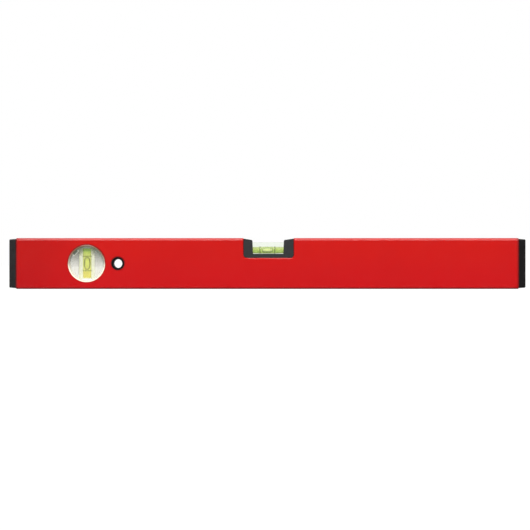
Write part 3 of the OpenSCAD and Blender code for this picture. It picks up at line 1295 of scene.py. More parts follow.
@dataclass
class Profile:
    """The coated box-section profile, with its notch, vial hole and hanging hole.

    side_wall is the thickness of the broad walls, and face_wall that of the measuring faces.
    """

    edge_radius: float = 2.5
    side_wall: float = 1.6
    face_wall: float = 2.2
    inner_radius: float = 1.0
    end_chamfer: float = 0.9
    cut_rounding: float = 0.2
    notch_half: float = 24.4
    notch_shift: float = 1.15
    notch_floor: float = 30.1
    notch_corner: float = 3.0
    notch_chamfer: float = 0.7
    overrun: float = 5.0
    box: Box = field(default_factory=lambda: Box.of("profile"))

    def hole(self, node: str, reach: float) -> Solid:
        """Cutter for the round hole that a node sits in.

        Args:
            node: Name of the node.
            reach: Radius of the hole.

        Returns:
            The cutter.
        """
        depth = self.box.high.y + self.overrun
        outline = [(0, -depth), (reach, -depth), (reach, depth), (0, depth)]
        return Solid().turned(outline, Axis.DEPTH, Box.of(node).hub)

    def tube(self) -> Piece:
        """The tube between the end caps, with chamfered ends.

        Returns:
            The tube, in millimetres.
        """
        size, mid = self.box.size, self.box.centre
        inset = 2 * self.end_chamfer
        full = rounded_rect(size.y, size.z, self.edge_radius)
        narrow = rounded_rect(size.y - inset, size.z - inset, self.edge_radius - self.end_chamfer)
        bore = rounded_rect(size.y - 2 * self.side_wall, size.z - 2 * self.face_wall, self.inner_radius)
        low, high = self.box.low.x, self.box.high.x
        stations = (
            (low, narrow),
            (low + self.end_chamfer, full),
            (high - self.end_chamfer, full),
            (high, narrow),
            (high, bore),
            (low, bore),
        )
        rings = [section(at, outline, mid) for at, outline in stations]
        return Solid().loft(rings, closed=True).piece("aluminium_profile")

    def notch(self) -> Solid:
        """Cutter for the notch in the top edge, wider at both faces by the chamfer.

        Returns:
            The cutter.
        """
        face, top = self.box.high.y, self.box.high.z + self.overrun

        def ring(at: float, grow: float) -> list[Vector]:
            """Outline of the notch at a depth, grown outwards.

            Args:
                at: Depth along the level's Y axis.
                grow: Millimetres outwards.

            Returns:
                The ring of points.
            """
            half, floor = self.notch_half + grow, self.notch_floor - grow
            corner = self.notch_corner + grow
            outline = [(-half, top), *arc(-half + corner, floor + corner, corner, 180, 270)]
            outline += [*arc(half - corner, floor + corner, corner, 270, 360), (half, top)]
            return [Vector((x + self.notch_shift, at, z)) for x, z in outline]

        chamfer = self.notch_chamfer
        stations = [(face + self.overrun, chamfer), (face, chamfer), (face - chamfer, 0.0)]
        rings = [ring(-at, grow) for at, grow in stations]
        rings += [ring(at, grow) for at, grow in reversed(stations)]
        return Solid().loft(rings)

    def build(self, coat: Material, vial_hole: float, hanging_hole: float) -> Piece:
        """Cuts and rounds the tube.

        Args:
            coat: The coat's material.
            vial_hole: Radius of the plumb vial's hole.
            hanging_hole: Radius of the hanging hole.

        Returns:
            The finished profile.
        """
        piece = self.tube()
        combine(piece, self.notch())
        combine(piece, self.hole("plumb_vial_front_shell", vial_hole))
        combine(piece, self.hole("hang_hole_front_sleeve", hanging_hole))
        round_edges(piece, self.cut_rounding)
        return finished(piece, [coat], ["profile"])


@dataclass
class EndCap:
    """A moulded end cap: a drafted lip with a rounded end, and a hollow plug with crush ribs.

    inset is how far the lip stands inside the profile's outline, and draft how much further it
    does at its end. A root or an overlap is what two united forms share.
    """

    side: Side
    plastic: Finish
    inset: float = 0.8
    draft: float = 0.45
    rounding: float = 0.8
    corner: float = 1.9
    least_corner: float = 0.8
    plug_length: float = 16.0
    plug_wall: float = 1.8
    plug_gap: float = 0.35
    plug_overlap: float = 0.5
    plug_corner: float = 0.65
    hollow_corner: float = 0.5
    rib_width: float = 1.2
    rib_rise: float = 0.33
    rib_root: float = 0.2
    rib_inset: float = 0.6
    rib_count: int = 3
    edge: float = 0.15
    steps: int = 6

    def lip(self, joint: float, end: float, profile: Box) -> Solid:
        """The part of the cap that shows.

        Args:
            joint: Where it meets the profile, along the level.
            end: Where its outer end lies.
            profile: Box of the profile.

        Returns:
            The lip.
        """
        way = self.side.value
        length = abs(end - joint)
        stations = [(0.0, self.inset), (length - self.rounding, self.inset + self.draft)]
        for i in range(1, self.steps + 1):
            turn = math.pi / 2 * i / self.steps
            at = length - self.rounding * (1 - math.sin(turn))
            stations.append((at, self.inset + self.draft + self.rounding * (1 - math.cos(turn))))
        rings = []
        for at, inset in stations:
            width, height = profile.size.y - 2 * inset, profile.size.z - 2 * inset
            corner = max(self.corner - (inset - self.inset), self.least_corner)
            rings.append(section(joint + way * at, rounded_rect(width, height, corner), profile.centre))
        return Solid().loft(rings)

    def build(self, profile: Profile, ribs: GeometryTree) -> Piece:
        """Makes the cap.

        Args:
            profile: The profile that the plug fits.
            ribs: The group that adds the crush ribs.

        Returns:
            The finished cap.
        """
        plastic = self.plastic.material()
        node = f"{self.side.name.lower()}_end_cap"
        box, tube = Box.of(node), profile.box
        way = self.side.value
        joint, end = way * tube.high.x, way * box.high.x if way > 0 else box.low.x
        foot, root = joint - way * self.plug_length, joint + way * self.plug_overlap
        depth = tube.size.y - 2 * (profile.side_wall + self.plug_gap)
        height = tube.size.z - 2 * (profile.face_wall + self.plug_gap)
        outer = rounded_rect(depth, height, self.plug_corner)
        hollow = 2 * self.plug_wall
        inner = rounded_rect(depth - hollow, height - hollow, self.hollow_corner)
        piece = self.lip(joint, end, tube).piece(f"{node}_moulding")
        stations = ((foot, outer), (root, outer), (root, inner), (foot, inner))
        plug = Solid().loft([section(at, outline, tube.centre) for at, outline in stations], closed=True)
        combine(piece, plug, "UNION")
        round_edges(piece, self.edge)
        ribs.run(
            piece,
            {
                "Finish": plastic,
                "Length": self.plug_length - self.rib_inset,
                "Width": self.rib_width,
                "Rise": self.rib_rise + self.rib_root,
                "Half Depth": depth / 2 + (self.rib_rise - self.rib_root) / 2,
                "Half Height": height / 2 + (self.rib_rise - self.rib_root) / 2,
                "Middle": joint - way * self.plug_length / 2,
                "Centre Height": tube.centre.z,
                "Pitch": height / 3,
                "Count": self.rib_count,
            },
        )
        return finished(piece, [plastic], [node])


@dataclass
class Cradle:
    """The black moulded insert that holds the level vial in the notch.

    The opening between its cheeks is gap_top wide at the top and gap_low at the bar, and lies
    gap_shift left of the middle. The cheeks stay drop_outer under the measuring face at their
    outer end, and drop_inner at their inner end. The block rests on a ridge at either side.
    """

    corner: float = 3.0
    gap_top: float = 30.6
    gap_low: float = 29.5
    gap_shift: float = 0.4
    drop_outer: float = 0.5
    drop_inner: float = 1.8
    bar_rise: float = 4.0
    soften: float = 0.6
    leg_depth: float = 16.6
    leg_overlap: float = 1.5
    overrun: float = 1.0
    fit: float = 0.1
    ridge: float = 0.8
    ridge_reach: float = 1.1
    ridge_root: float = 0.3
    edge: float = 0.35
    plastic: Finish = MouldedPlastic("cradle_plastic", display(31, 34, 36), display(40, 43, 45))

    def outline(self, box: Box, floor: float, top: float) -> Outline:
        """Outline of the cheeks and the bar from the front.

        Args:
            box: Box of the cradle.
            floor: Height of the notch's floor.
            top: Height of the upper measuring face.

        Returns:
            The outline.
        """
        middle, half = box.centre.x, box.size.x / 2
        r, high, low = self.corner, self.gap_top / 2, self.gap_low / 2
        outer, inner, bar = top - self.drop_outer, top - self.drop_inner, floor + self.bar_rise
        points = arc(-half + r, floor + self.fit + r, r, 180, 270)
        points += arc(half - r, floor + self.fit + r, r, 270, 360)
        cheek = [(high + self.soften, inner), (high, inner - self.soften), (low, bar)]
        opening = cheek + [(-x, z) for x, z in reversed(cheek)]
        points += [(half, outer), *((x - self.gap_shift, z) for x, z in opening), (-half, outer)]
        return [(middle + x, z) for x, z in points]

    def beside(self, side: Side, middle: float, reach: Span, half_depth: float, height: Span) -> Solid:
        """Block on one side of the cradle's middle.

        Args:
            side: The side.
            middle: Where the middle lies, along the level.
            reach: Distances from the middle to the block's near and far end.
            half_depth: Half its extent from front to rear.
            height: Heights of its foot and its top.

        Returns:
            The block.
        """
        ends = sorted(middle + side.value * at for at in reach)
        low = Vector((ends[0], -half_depth, height[0]))
        return Solid().block(low, Vector((ends[1], half_depth, height[1])))

    def build(self, profile: Profile) -> Piece:
        """Makes the cradle.

        Args:
            profile: The profile whose notch it fills.

        Returns:
            The finished cradle.
        """
        plastic = self.plastic.material()
        box, block = Box.of("level_vial_cradle"), Box.of("level_vial_block")
        floor, top = profile.notch_floor, profile.box.high.z
        pocket = block.size / 2 + Vector((self.fit, self.fit, self.fit))
        middle = box.centre.x
        outline = self.outline(box, floor, top)
        solid = Solid().prism(outline, Axis.DEPTH, box.low.y, box.high.y)
        piece = solid.piece("level_vial_cradle_moulding")
        reach, height = (pocket.x, box.size.x / 2), (box.low.z, floor + self.leg_overlap)
        for side in Side:
            combine(piece, self.beside(side, middle, reach, self.leg_depth / 2, height), "UNION")
        low = Vector((middle - pocket.x, -pocket.y, box.low.z - self.overrun))
        high = Vector((middle + pocket.x, pocket.y, block.high.z + self.fit))
        combine(piece, Solid().block(low, high))
        seat = block.low.z - self.fit
        reach, height = (pocket.x - self.ridge_reach, pocket.x + self.ridge_root), (seat - self.ridge, seat)
        for side in Side:
            combine(piece, self.beside(side, middle, reach, pocket.y / 3, height), "UNION")
        round_edges(piece, self.edge)
        return finished(piece, [plastic], ["level_vial_cradle"])


@dataclass
class VialTrees:
    """The geometry groups that make what both vials have."""

    barrel: GeometryTree = field(default_factory=lambda: swept_round("barrel_fluid", barrel_rule))
    bubble: GeometryTree = field(default_factory=lambda: swept_round("air_bubble", bubble_rule))
    rings: GeometryTree = field(default_factory=ring_pair_tree)


@dataclass(frozen=True)
class VialLook:
    """The finishes of a vial's pieces."""

    block: Finish
    bore_wall: Finish
    fluid: Finish
    ink: Finish
    air: Finish
    plug: Finish


@dataclass
class Vial(ABC):
    """A block vial: an acrylic block with a barrel bore, fluid, reading rings, plug and bubble.

    film is the gap between two pieces that share a wall. A face of the block counts as the bore's
    when it lies more than skin inside the block's outer faces.
    """

    name: str
    axis: Axis
    ring_nodes: tuple[str, str]
    bubble_body: str
    block_edge: float = 0.35
    block_angle: float = 50.0
    skin: float = 0.6
    overrun: float = 1.0
    film: float = 0.03
    arc_radius: float = 400.0
    ring_thickness: float = 0.4
    ring_edge: float = 0.08
    fullness: float = 2.3
    fluid_edge: float = 0.3
    bore_steps: int = 12
    fluid_steps: int = 24
    bubble_steps: int = 60
    sides: int = 64

    @abstractmethod
    def look(self) -> VialLook:
        """Finishes of the vial's pieces."""

    def box(self, part: str) -> Box:
        """Box of one of the vial's solids."""
        return Box.of(f"{self.name}_{part}")

    def place(self) -> Vector:
        """Middle between the reading rings, on the axis of the bore."""
        return Box.of(*self.ring_nodes).centre

    def extent(self, box: Box) -> tuple[float, float]:
        """Where a solid starts and ends along the bore, from the middle between the rings.

        Args:
            box: Box of the solid.

        Returns:
            Distances of its two ends.
        """
        start = self.place()[self.axis.value]
        return box.low[self.axis.value] - start, box.high[self.axis.value] - start

    def bore_radius(self) -> float:
        """Radius of the bore at its middle."""
        return self.box("liquid").size.y / 2 + self.film

    def barrel(self, at: float) -> float:
        """Radius of the bore at a distance from its middle."""
        return self.bore_radius() - at * at / (2 * self.arc_radius)

    def stand(self, piece: Piece) -> Piece:
        """Puts a piece made along Z in its place in the bore.

        Args:
            piece: A piece around the Z axis, in millimetres.

        Returns:
            The same piece.
        """
        piece.data.transform(self.axis.stand(self.place()))
        for polygon in piece.data.polygons:
            polygon.use_smooth = True
        return piece

    def block(self, acrylic: Material, wall: Material) -> Piece:
        """The acrylic block with its bore.

        Args:
            acrylic: Material of the block.
            wall: Clearer material of the bore's wall.

        Returns:
            The finished piece.
        """
        box, plug = self.box("block"), self.box("plug")
        low, high = self.extent(self.box("liquid"))
        low, high = low - self.film, high + self.film
        mouth = self.extent(box)[1] + self.overrun
        seat = plug.size.y / 2 + self.film
        heights = [low + (high - low) * i / self.bore_steps for i in range(self.bore_steps + 1)]
        profile = [(0.0, low), *((self.barrel(at), at) for at in heights)]
        profile += [(seat, high), (seat, mouth), (0.0, mouth)]
        piece = Solid().block(box.low, box.high).piece(f"{self.name}_acrylic_block")
        bore = Solid().turned(profile, Axis.UP, Vector((0, 0, 0)))
        bmesh.ops.transform(bore.mesh, matrix=self.axis.stand(self.place()), verts=bore.mesh.verts)
        combine(piece, bore)
        round_edges(piece, self.block_edge, angle=self.block_angle)
        middle = box.centre
        inner = box.size / 2 - Vector((self.skin, self.skin, self.skin))

        def inside(centre: Vector) -> int:
            """1 for a face of the bore, which lies well inside the block's outer faces."""
            away = centre - middle
            return int(all(abs(away[i]) < inner[i] for i in range(3)))

        number_faces(piece, inside)
        return finished(piece, [acrylic, wall], [f"{self.name}_block"])

    def grown(self, part: str, tree: GeometryTree, sizes: Sizes) -> Piece:
        """Makes a piece with a geometry group and puts it in the bore.

        Args:
            part: Name of the piece within the vial.
            tree: The group.
            sizes: The group's inputs by name.

        Returns:
            The piece, in millimetres.
        """
        name = f"{self.name}_{part}"
        piece = link(bpy.data.objects.new(name, bpy.data.meshes.new(name)))
        return self.stand(tree.run(piece, sizes))

    def fluid(self, trees: VialTrees, fluid: Material) -> Piece:
        """The fluid, as one barrel that the bubble moves inside.

        Args:
            trees: The vials' geometry groups.
            fluid: Material of the fluid.

        Returns:
            The finished piece.
        """
        low, high = self.extent(self.box("liquid"))
        sizes = {
            "Finish": fluid,
            "Low": low,
            "High": high,
            "Steps": self.fluid_steps,
            "Sides": self.sides,
            "Middle Radius": self.bore_radius() - self.film,
            "Arc Radius": self.arc_radius,
        }
        piece = self.grown("fluid", trees.barrel, sizes)
        round_edges(piece, self.fluid_edge)
        return finished(piece, [fluid], [f"{self.name}_liquid"])

    def rings(self, trees: VialTrees, ink: Material) -> Piece:
        """The two reading rings.

        Args:
            trees: The vials' geometry groups.
            ink: Material of the rings.

        Returns:
            The finished piece.
        """
        one, both = Box.of(self.ring_nodes[0]), Box.of(*self.ring_nodes)
        width = one.size[self.axis.value]
        sizes = {
            "Finish": ink,
            "Radius": one.size.y / 2 - self.ring_thickness / 2,
            "Gap": both.size[self.axis.value] - width,
            "Width": width,
            "Thickness": self.ring_thickness,
        }
        piece = self.grown("reading_rings", trees.rings, sizes)
        round_edges(piece, self.ring_edge, 2)
        return finished(piece, [ink], self.ring_nodes)

    def bubble(self, trees: VialTrees, air: Material) -> Piece:
        """The air bubble, which slides along the bore.

        Args:
            trees: The vials' geometry groups.
            air: Material of the bubble.

        Returns:
            The finished piece.
        """
        box = self.box("bubble")
        half = box.size[self.axis.value] / 2
        sizes = {
            "Finish": air,
            "Low": -half,
            "High": half,
            "Steps": self.bubble_steps,
            "Sides": self.sides,
            "Middle Radius": box.size.y / 2,
            "Half Length": half,
            "Fullness": self.fullness,
        }
        piece = self.grown("air", trees.bubble, sizes)
        return finished(piece, [air], [f"{self.name}_bubble"], self.bubble_body)

    def raised(self, stops: Stops) -> Stops:
        """Stops measured from the middle of the vial, at their heights on the level."""
        return tuple((self.place().z + at, colour) for at, colour in stops)

    def build(self, trees: VialTrees) -> None:
        """Makes the whole vial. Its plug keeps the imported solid.

        Args:
            trees: The vials' geometry groups.
        """
        look = self.look()
        self.block(look.block.material(), look.bore_wall.material())
        self.fluid(trees, look.fluid.material())
        self.rings(trees, look.ink.material())
        self.bubble(trees, look.air.material())
        redress(f"{self.name}_plug", look.plug.material())


@dataclass
class LevelVial(Vial):
    """The level vial in the notch, whose fluid is painted paler towards its top, as painted light from
    above.
    """

    name: str = "level_vial"
    axis: Axis = Axis.ALONG
    ring_nodes: tuple[str, str] = ("level_vial_left_ring", "level_vial_right_ring")
    bubble_body: str = "level_bubble"
    tint: Colour = display(226, 246, 206)
    stops: Stops = (
        (-2.4, display(174, 193, 109)),
        (-1.2, display(182, 203, 106)),
        (-0.4, display(194, 212, 110)),
        (0.5, display(212, 226, 126)),
        (1.5, display(216, 227, 138)),
        (2.6, display(226, 232, 170)),
    )
    inks: tuple[Colour, Colour] = (display(88, 104, 36), display(100, 118, 44))
    plug_colours: tuple[Colour, Colour] = (display(200, 214, 170), display(186, 204, 150))

    def look(self) -> VialLook:
        """Finishes of the level vial's pieces.

        Returns:
            The finishes.
        """
        return VialLook(
            ClearAcrylic("level_acrylic", self.tint, haze=0.06, edge=0.5, passing=(0.955, 0.975, 0.94)),
            ClearAcrylic("level_bore_wall", self.tint, haze=0.02, edge=0.1),
            VialFluid("level_fluid", Axis.UP, self.raised(self.stops)),
            MouldedPlastic("ring_ink", *self.inks, roughness=(0.5, 0.6)),
            AirBubble("level_air", display(255, 248, 255), display(104, 134, 84), glow=0.45),
            MouldedPlastic("level_plug_plastic", *self.plug_colours, roughness=(0.3, 0.4), gloss=0.4),
        )


@dataclass
class PlumbVial(Vial):
    """The plumb vial, whose fluid is painted yellow and lighter at its foot and greener and shaded under
    its plug, as painted light and shade.
    """

    name: str = "plumb_vial"
    axis: Axis = Axis.UP
    ring_nodes: tuple[str, str] = ("plumb_vial_upper_ring", "plumb_vial_lower_ring")
    bubble_body: str = "plumb_bubble"
    tint: Colour = display(248, 250, 214)
    foot: Colour = display(255, 238, 112)
    stops: Stops = (
        (-9.0, display(255, 240, 116)),
        (-6.5, display(250, 248, 146)),
        (0.0, display(250, 254, 166)),
        (5.5, display(250, 254, 166)),
        (8.8, display(244, 252, 160)),
        (10.7, display(228, 246, 140)),
    )
    head: Colour = display(204, 232, 134)
    inks: tuple[Colour, Colour] = (display(132, 142, 20), display(144, 154, 30))
    plug_foot: Colour = display(190, 226, 126)
    plug_head: Colour = display(164, 204, 116)

    def look(self) -> VialLook:
        """Finishes of the plumb vial's pieces.

        Returns:
            The finishes.
        """
        low, high = (self.place().z + at for at in self.extent(self.box("liquid")))
        stops = ((low, self.foot), *self.raised(self.stops), (high, self.head))
        # The plug is painted lighter at its foot and shaded at its head, with a painted glow.
        plug_stops = (high, self.plug_foot), (self.box("plug").high.z, self.plug_head)
        return VialLook(
            ClearAcrylic("plumb_acrylic", self.tint, haze=0.06, edge=0.5, passing=(0.947, 0.96, 0.84)),
            ClearAcrylic("plumb_bore_wall", self.tint, haze=0.02, edge=0.1),
            VialFluid("plumb_fluid", Axis.UP, stops),
            MouldedPlastic("plumb_ring_ink", *self.inks, roughness=(0.5, 0.6)),
            AirBubble("plumb_air", display(250, 253, 190), display(100, 106, 40), glow=0.2),
            VialFluid("plumb_plug_plastic", Axis.UP, plug_stops, solid=0.3, glow=0.16),
        )


@dataclass
class PlumbHousing:
    """The two clear shells around the plumb vial, latched together through the profile.

    The rims lie rim_overlap over the edge of the profile's hole. window is how thick a window is,
    root what a rib or a tongue shares with it, and barb_bite how far a barb goes into the rear
    shell's wall. The margins keep faces of windows and walls from counting as ribs.
    """

    rim_width: float = 1.4
    rim_overlap: float = 0.35
    fit: float = 0.1
    film: float = 0.03
    wall: float = 1.0
    window: float = 1.8
    guide_length: float = 20.0
    guide_thickness: float = 1.0
    root: float = 0.3
    latch_width: float = 5.2
    latch_thickness: float = 2.2
    latch_reach: float = 3.0
    latch_angle: float = 135.0
    barb_bite: float = 0.45
    barb_length: float = 1.0
    barb_root: float = 0.2
    deep_margin: float = 0.05
    wall_margin: float = 0.02
    edge: float = 0.2
    steps: int = 128
    block_half: float = field(init=False)
    centre: Vector = field(init=False)
    rim_r: float = field(init=False)
    window_r: float = field(init=False)
    shell_r: float = field(init=False)
    inner_r: float = field(init=False)
    front_y: float = field(init=False)
    window_y: float = field(init=False)
    face_y: float = field(init=False)
    latch_out: float = field(init=False)

    def __post_init__(self) -> None:
        """Works out radii and depths from the solids of the front shell and of what it holds."""
        box = Box.of("plumb_vial_front_shell")
        self.block_half = Box.of("plumb_vial_block").size.x / 2
        self.centre = box.hub
        self.rim_r = box.size.x / 2
        self.window_r = self.rim_r - self.rim_width
        self.shell_r = self.rim_r - self.rim_overlap - self.fit
        self.inner_r = self.shell_r - self.wall
        self.front_y = -box.low.y
        self.window_y = self.front_y - self.window
        self.face_y = Box.of("profile").high.y
        self.latch_out = math.sqrt((self.inner_r - self.fit) ** 2 - (self.latch_width / 2) ** 2)

    @property
    def hole_r(self) -> float:
        """Radius of the hole in the profile."""
        return self.rim_r - self.rim_overlap

    @property
    def collar(self) -> tuple[Vector, float]:
        """Middle and radius of the rim that lies on the coat."""
        return self.centre, self.rim_r

    @property
    def latch_foot(self) -> LatchFoot:
        """Foot of the latch that shows at the upper left."""
        middle = self.latch_out - self.latch_thickness / 2
        return LatchFoot(self.latch_angle, middle, self.latch_width, self.latch_thickness)

    def cup(self, face: Face) -> Solid:
        """Window, sloping rim and wall of one shell.

        Args:
            face: The face of the level that it shows on.

        Returns:
            The shell's turned form.
        """
        way = face.value
        profile = [
            (0.0, self.front_y),
            (self.window_r, self.front_y),
            (self.rim_r, self.face_y + self.film),
            (self.shell_r, self.face_y + self.film),
            (self.shell_r, self.film),
            (self.inner_r, self.film),
            (self.inner_r, self.window_y),
            (0.0, self.window_y),
        ]
        return Solid().turned([(r, way * at) for r, at in profile], Axis.DEPTH, self.centre, self.steps)

    def guide(self, face: Face, side: Side) -> Solid:
        """One of the ribs that keep the block in the middle.

        Args:
            face: The face of the level that the shell shows on.
            side: The side of the block that the rib keeps.

        Returns:
            The rib.
        """
        near = self.block_half + self.fit
        across = sorted((side.value * near, side.value * (near + self.guide_thickness)))
        deep = sorted((face.value * self.fit, face.value * (self.window_y + self.root)))
        half = self.guide_length / 2
        low = Vector((across[0], deep[0], -half))
        return Solid().block(self.centre + low, self.centre + Vector((across[1], deep[1], half)))

    def at_latch(self, solid: Solid, turn: float) -> Solid:
        """Puts a solid made with +X outwards at one of the two latches.

        Args:
            solid: The solid.
            turn: 0 for one latch and 180 for the other.

        Returns:
            The same solid.
        """
        spin = Matrix.Rotation(math.radians(-self.latch_angle + turn), 4, "Y")
        out = Matrix.Translation(Vector((self.latch_out, 0, 0)))
        place = Matrix.Translation(self.centre) @ spin @ out
        bmesh.ops.transform(solid.mesh, matrix=place, verts=solid.mesh.verts)
        return solid

    def tongue(self, turn: float) -> Solid:
        """The tongue of a latch, from the front window to inside the rear shell.

        Args:
            turn: 0 for one latch and 180 for the other.

        Returns:
            The tongue.
        """
        half = self.latch_width / 2
        low = Vector((-self.latch_thickness, -self.window_y - self.root, -half))
        return self.at_latch(Solid().block(low, Vector((0, self.latch_reach, half))), turn)

    def barb(self, turn: float, spare: float) -> Solid:
        """The barb of a latch, or with some spare the slot that it bites into.

        Args:
            turn: 0 for one latch and 180 for the other.
            spare: Clearance all round, 0 for the barb itself.

        Returns:
            The barb or its slot.
        """
        out = self.inner_r - self.latch_out + self.barb_bite + spare
        half = self.latch_width / 4 + spare
        start = self.latch_reach - self.barb_length - 2 * spare
        low = Vector((-self.barb_root, start, -half))
        return self.at_latch(Solid().block(low, Vector((out, self.latch_reach + spare, half))), turn)

    def number(self, centre: Vector) -> int:
        """Number of the material of a face.

        Args:
            centre: Centre of the face.

        Returns:
            1 for ribs and latches inside the shell, 0 for the rest.
        """
        away = centre - self.centre
        deep = abs(away.y) < self.window_y - self.deep_margin
        radius = math.hypot(away.x, away.z)
        near_wall = radius > self.inner_r - self.wall_margin
        return int(deep and not near_wall and radius > self.block_half)

    def shell(self, face: Face, clear: Material, ribbed: Material) -> Piece:
        """Makes one shell.

        Args:
            face: The face of the level that it shows on.
            clear: The material of window, rim and wall.
            ribbed: The material of ribs and latches.

        Returns:
            The finished shell.
        """
        node = f"plumb_vial_{face.name.lower()}_shell"
        piece = self.cup(face).piece(f"{node}_moulding")
        for side in Side:
            combine(piece, self.guide(face, side), "UNION")
        for turn in (0.0, 180.0):
            if face is Face.FRONT:
                combine(piece, self.tongue(turn), "UNION")
                combine(piece, self.barb(turn, 0.0), "UNION")
            else:
                combine(piece, self.barb(turn, self.fit))
        round_edges(piece, self.edge)
        number_faces(piece, self.number)
        return finished(piece, [clear, ribbed], [node])

    def build(self) -> None:
        """Makes both shells."""
        window = self.centre, self.block_half, self.window_r, self.rim_r, self.latch_foot
        clear = ShellPlastic("shell_plastic", *window).material()
        # The ribs' darker grey is painted shade along them.
        ribbed = ClearAcrylic("rib_plastic", display(130, 142, 122), haze=0.3, edge=0.85).material()
        for face in Face:
            self.shell(face, clear, ribbed)


@dataclass
class HangingSleeve:
    """The black sleeve of the hanging hole, in two halves that lap inside the tube.

    lead is how much its mouth is wider than its bore all round, and flange how far its flange
    stands proud of the coat.
    """

    bore: float = 4.3
    lead: float = 0.6
    lead_depth: float = 0.9
    wall: float = 1.3
    fit: float = 0.1
    film: float = 0.03
    flange_overlap: float = 0.7
    flange: float = 0.6
    lap: float = 2.5
    edge: float = 0.22
    plastic: Finish = MouldedPlastic(
        "sleeve_plastic", display(14, 11, 13), display(24, 20, 22), roughness=(0.5, 0.65), gloss=0.12
    )

    @property
    def hole_r(self) -> float:
        """Radius of the hole in the profile."""
        return self.bore + self.wall + self.fit

    @property
    def collar(self) -> tuple[Vector, float]:
        """Middle and radius of the flange that lies on the coat."""
        box = Box.of("hang_hole_front_sleeve")
        return box.hub, box.size.x / 2

    def half(self, face: Face, plastic: Material) -> Piece:
        """Makes one half of the sleeve.

        Args:
            face: The face of the level that it shows on.
            plastic: The sleeve's material.

        Returns:
            The finished half.
        """
        node = f"hang_hole_{face.name.lower()}_sleeve"
        face_y = Box.of("profile").high.y
        outer, lap_r = self.bore + self.wall, self.bore + self.wall / 2
        flange_r = outer + self.fit + self.flange_overlap
        mouth = face_y + self.flange
        profile = [
            (self.bore, mouth - self.lead_depth),
            (self.bore + self.lead, mouth),
            (flange_r - self.flange / 2, mouth),
            (flange_r, face_y + self.film),
            (outer, face_y + self.film),
            (outer, self.fit / 2),
        ]
        if face is Face.FRONT:
            lap_r -= self.film
            profile += [(lap_r, self.fit / 2), (lap_r, -self.lap), (self.bore, -self.lap)]
        else:
            start = self.lap + self.fit
            profile += [(lap_r, self.fit / 2), (lap_r, start), (self.bore, start)]
        turned = [(r, face.value * at) for r, at in profile]
        piece = Solid().turned(turned, Axis.DEPTH, Box.of(node).hub).piece(f"{node}_moulding")
        round_edges(piece, self.edge)
        return finished(piece, [plastic], [node])

    def build(self) -> None:
        """Makes both halves."""
        plastic = self.plastic.material()
        for face in Face:
            self.half(face, plastic)


# ---------------------------------------------------------------- studio


@dataclass
class Lamp:
    """A soft distant lamp, by where it stands and how much it lights a face turned to it."""

    name: str
    azimuth: float
    elevation: float
    strength: float
    spread: float

    def build(self) -> Piece:
        """Makes the lamp.

        Returns:
            The lamp.
        """
        data = bpy.data.lights.new(self.name, "SUN")
        data.energy, data.angle = self.strength, math.radians(self.spread)
        lamp = link(bpy.data.objects.new(self.name, data))
        turn, rise = math.radians(self.azimuth), math.radians(self.elevation)
        flat = math.cos(rise)
        towards = Vector((math.sin(turn) * flat, -math.cos(turn) * flat, math.sin(rise)))
        lamp.rotation_euler = towards.to_track_quat("Z", "Y").to_euler()
        return lamp


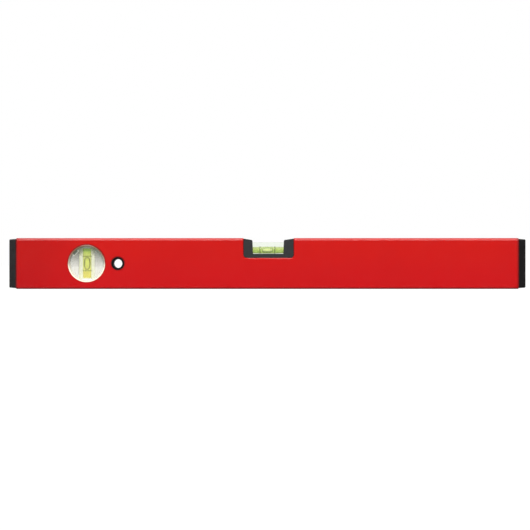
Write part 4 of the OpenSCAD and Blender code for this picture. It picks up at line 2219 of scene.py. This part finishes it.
@dataclass
class Studio:
    """White studio: floor, soft sky, lamps and a long-lens camera square to the front face.

    Its lengths are metres, apart from the sensor's millimetres. view_width is what the picture
    shows at the front face. sky is the strength of the dome's light at the horizon and overhead.
    rear is how far towards the rear a mirrored ray starts to meet the white background, and how far
    it meets nothing else.
    """

    distance: float = 2.65
    view_width: float = 0.51297
    aim: tuple[float, float] = (-0.00233, 0.0232)
    sensor: float = 36.0
    clip_end: float = 100.0
    clear_layers: int = 32
    floor_half: float = 40.0
    floor_depth: float = 0.01
    floor_colour: Colour = (0.5, 0.5, 0.5)
    floor_glow: float = 0.75
    floor_light: float = 1.25
    rear: Span = (0.0, 0.35)
    sky: Span = (0.14, 0.1)
    lamps: tuple[Lamp, ...] = (
        Lamp("key", -2.0, 46.0, 2.5, 32.0),
        Lamp("right_fill", 46.0, 18.0, 0.4, 30.0),
        Lamp("left_fill", -50.0, 18.0, 0.5, 30.0),
        Lamp("rear_fill", 205.0, 45.0, 0.7, 50.0),
    )

    def camera(self, front: float) -> None:
        """Makes the camera.

        Args:
            front: Where the level's front face lies, in metres.
        """
        data = bpy.data.cameras.new("camera")
        data.sensor_width = self.sensor
        data.lens = self.sensor * self.distance / self.view_width
        data.clip_end = self.clip_end
        camera = link(bpy.data.objects.new("camera", data))
        camera.location = (self.aim[0], front - self.distance, self.aim[1])
        camera.rotation_euler = (math.pi / 2, 0, 0)
        bpy.context.scene.camera = camera

    def background_share(self, nodes: NodeBuilder, place: Socket) -> Socket:
        """1 on the rays that look at the background.

        They are the camera's, those let through, and those mirrored towards the rear, because a dim
        room lies in front of the level.

        Args:
            nodes: The tree that needs the share.
            place: A direction or position there, whose Y tells front from rear.

        Returns:
            The share.
        """
        path = nodes.add("ShaderNodeLightPath").outputs
        rear = nodes.fade(nodes.part(Axis.DEPTH, place), *self.rear)
        mirrored = nodes.math("MULTIPLY", path["Is Glossy Ray"], rear)
        through = nodes.math("MAXIMUM", path["Is Camera Ray"], path["Is Transmission Ray"])
        return nodes.math("MAXIMUM", through, mirrored)

    def world(self) -> None:
        """Makes the sky: white where it is looked at, and a soft dome for lighting."""
        world = bpy.data.worlds.new("studio")
        world.use_nodes = True
        bpy.context.scene.world = world
        nodes = NodeBuilder(world.node_tree)
        dome = nodes.tree.nodes["Background"]
        direction = nodes.add("ShaderNodeTexCoord").outputs["Generated"]
        rise = nodes.fade(nodes.part(Axis.UP, direction), 0.0, 1.0, *self.sky)
        nodes.feed(dome.inputs["Strength"], rise)
        nodes.feed(dome.inputs["Color"], WHITE)
        white = nodes.out("ShaderNodeBackground", {"Color": WHITE})
        share = self.background_share(nodes, direction)
        both = nodes.out("ShaderNodeMixShader", {0: share, 1: dome.outputs[0], 2: white})
        nodes.feed(nodes.tree.nodes["World Output"].inputs["Surface"], both)

    def floor(self) -> None:
        """Makes the pale floor, which keeps the level's shadow."""
        half, depth = self.floor_half / MM, self.floor_depth / MM
        low, high = Vector((-half, -half, -depth)), Vector((half, half, 0))
        floor = Solid().block(low, high).piece("floor")
        floor.data.transform(Matrix.Scale(MM, 4))
        material = bpy.data.materials.new("pale_floor")
        material.use_nodes = True
        nodes = NodeBuilder(material.node_tree)
        nodes.tree.nodes.remove(nodes.tree.nodes["Principled BSDF"])
        matt = nodes.out("ShaderNodeBsdfDiffuse", {"Color": (*self.floor_colour, 1)})
        glow = nodes.out("ShaderNodeEmission", {"Strength": self.floor_light})
        place = nodes.add("ShaderNodeTexCoord").outputs["Object"]
        share = nodes.math("MULTIPLY", self.background_share(nodes, place), self.floor_glow)
        both = nodes.out("ShaderNodeMixShader", {0: share, 1: matt, 2: glow})
        nodes.feed(nodes.tree.nodes["Material Output"].inputs["Surface"], both)
        floor.data.materials.append(material)

    def build(self, front: float) -> None:
        """Makes the whole studio.

        Args:
            front: Where the level's front face lies, in metres.
        """
        scene = bpy.context.scene
        scene.view_settings.view_transform = "Standard"
        scene.cycles.transparent_max_bounces = self.clear_layers
        self.camera(front)
        self.world()
        self.floor()
        for lamp in self.lamps:
            lamp.build()


# ---------------------------------------------------------------- the level


def main() -> None:
    """Builds the studio and the level."""
    logging.basicConfig(level=logging.INFO, format="%(message)s")
    profile, housing, sleeve = Profile(), PlumbHousing(), HangingSleeve()
    Studio().build(profile.box.low.y * MM)

    coat = PowderCoat(profile.box.high.x, (housing.collar, sleeve.collar))
    profile.build(coat.material(), housing.hole_r, sleeve.hole_r)
    # The left cap is painted lighter than the right one, as painted light from the left.
    lit_left_plastic = MouldedPlastic("left_cap_plastic", display(38, 36, 37), display(46, 44, 45), gloss=0.14)
    shaded_right_plastic = MouldedPlastic("right_cap_plastic", display(22, 20, 21), display(28, 26, 27), gloss=0.1)
    ribs = crush_rib_tree()
    for cap in (EndCap(Side.LEFT, lit_left_plastic), EndCap(Side.RIGHT, shaded_right_plastic)):
        cap.build(profile, ribs)
    Cradle().build(profile)
    trees = VialTrees()
    for vial in (LevelVial(), PlumbVial()):
        vial.build(trees)
    housing.build()
    sleeve.build()


if __name__ == "__main__":
    main()
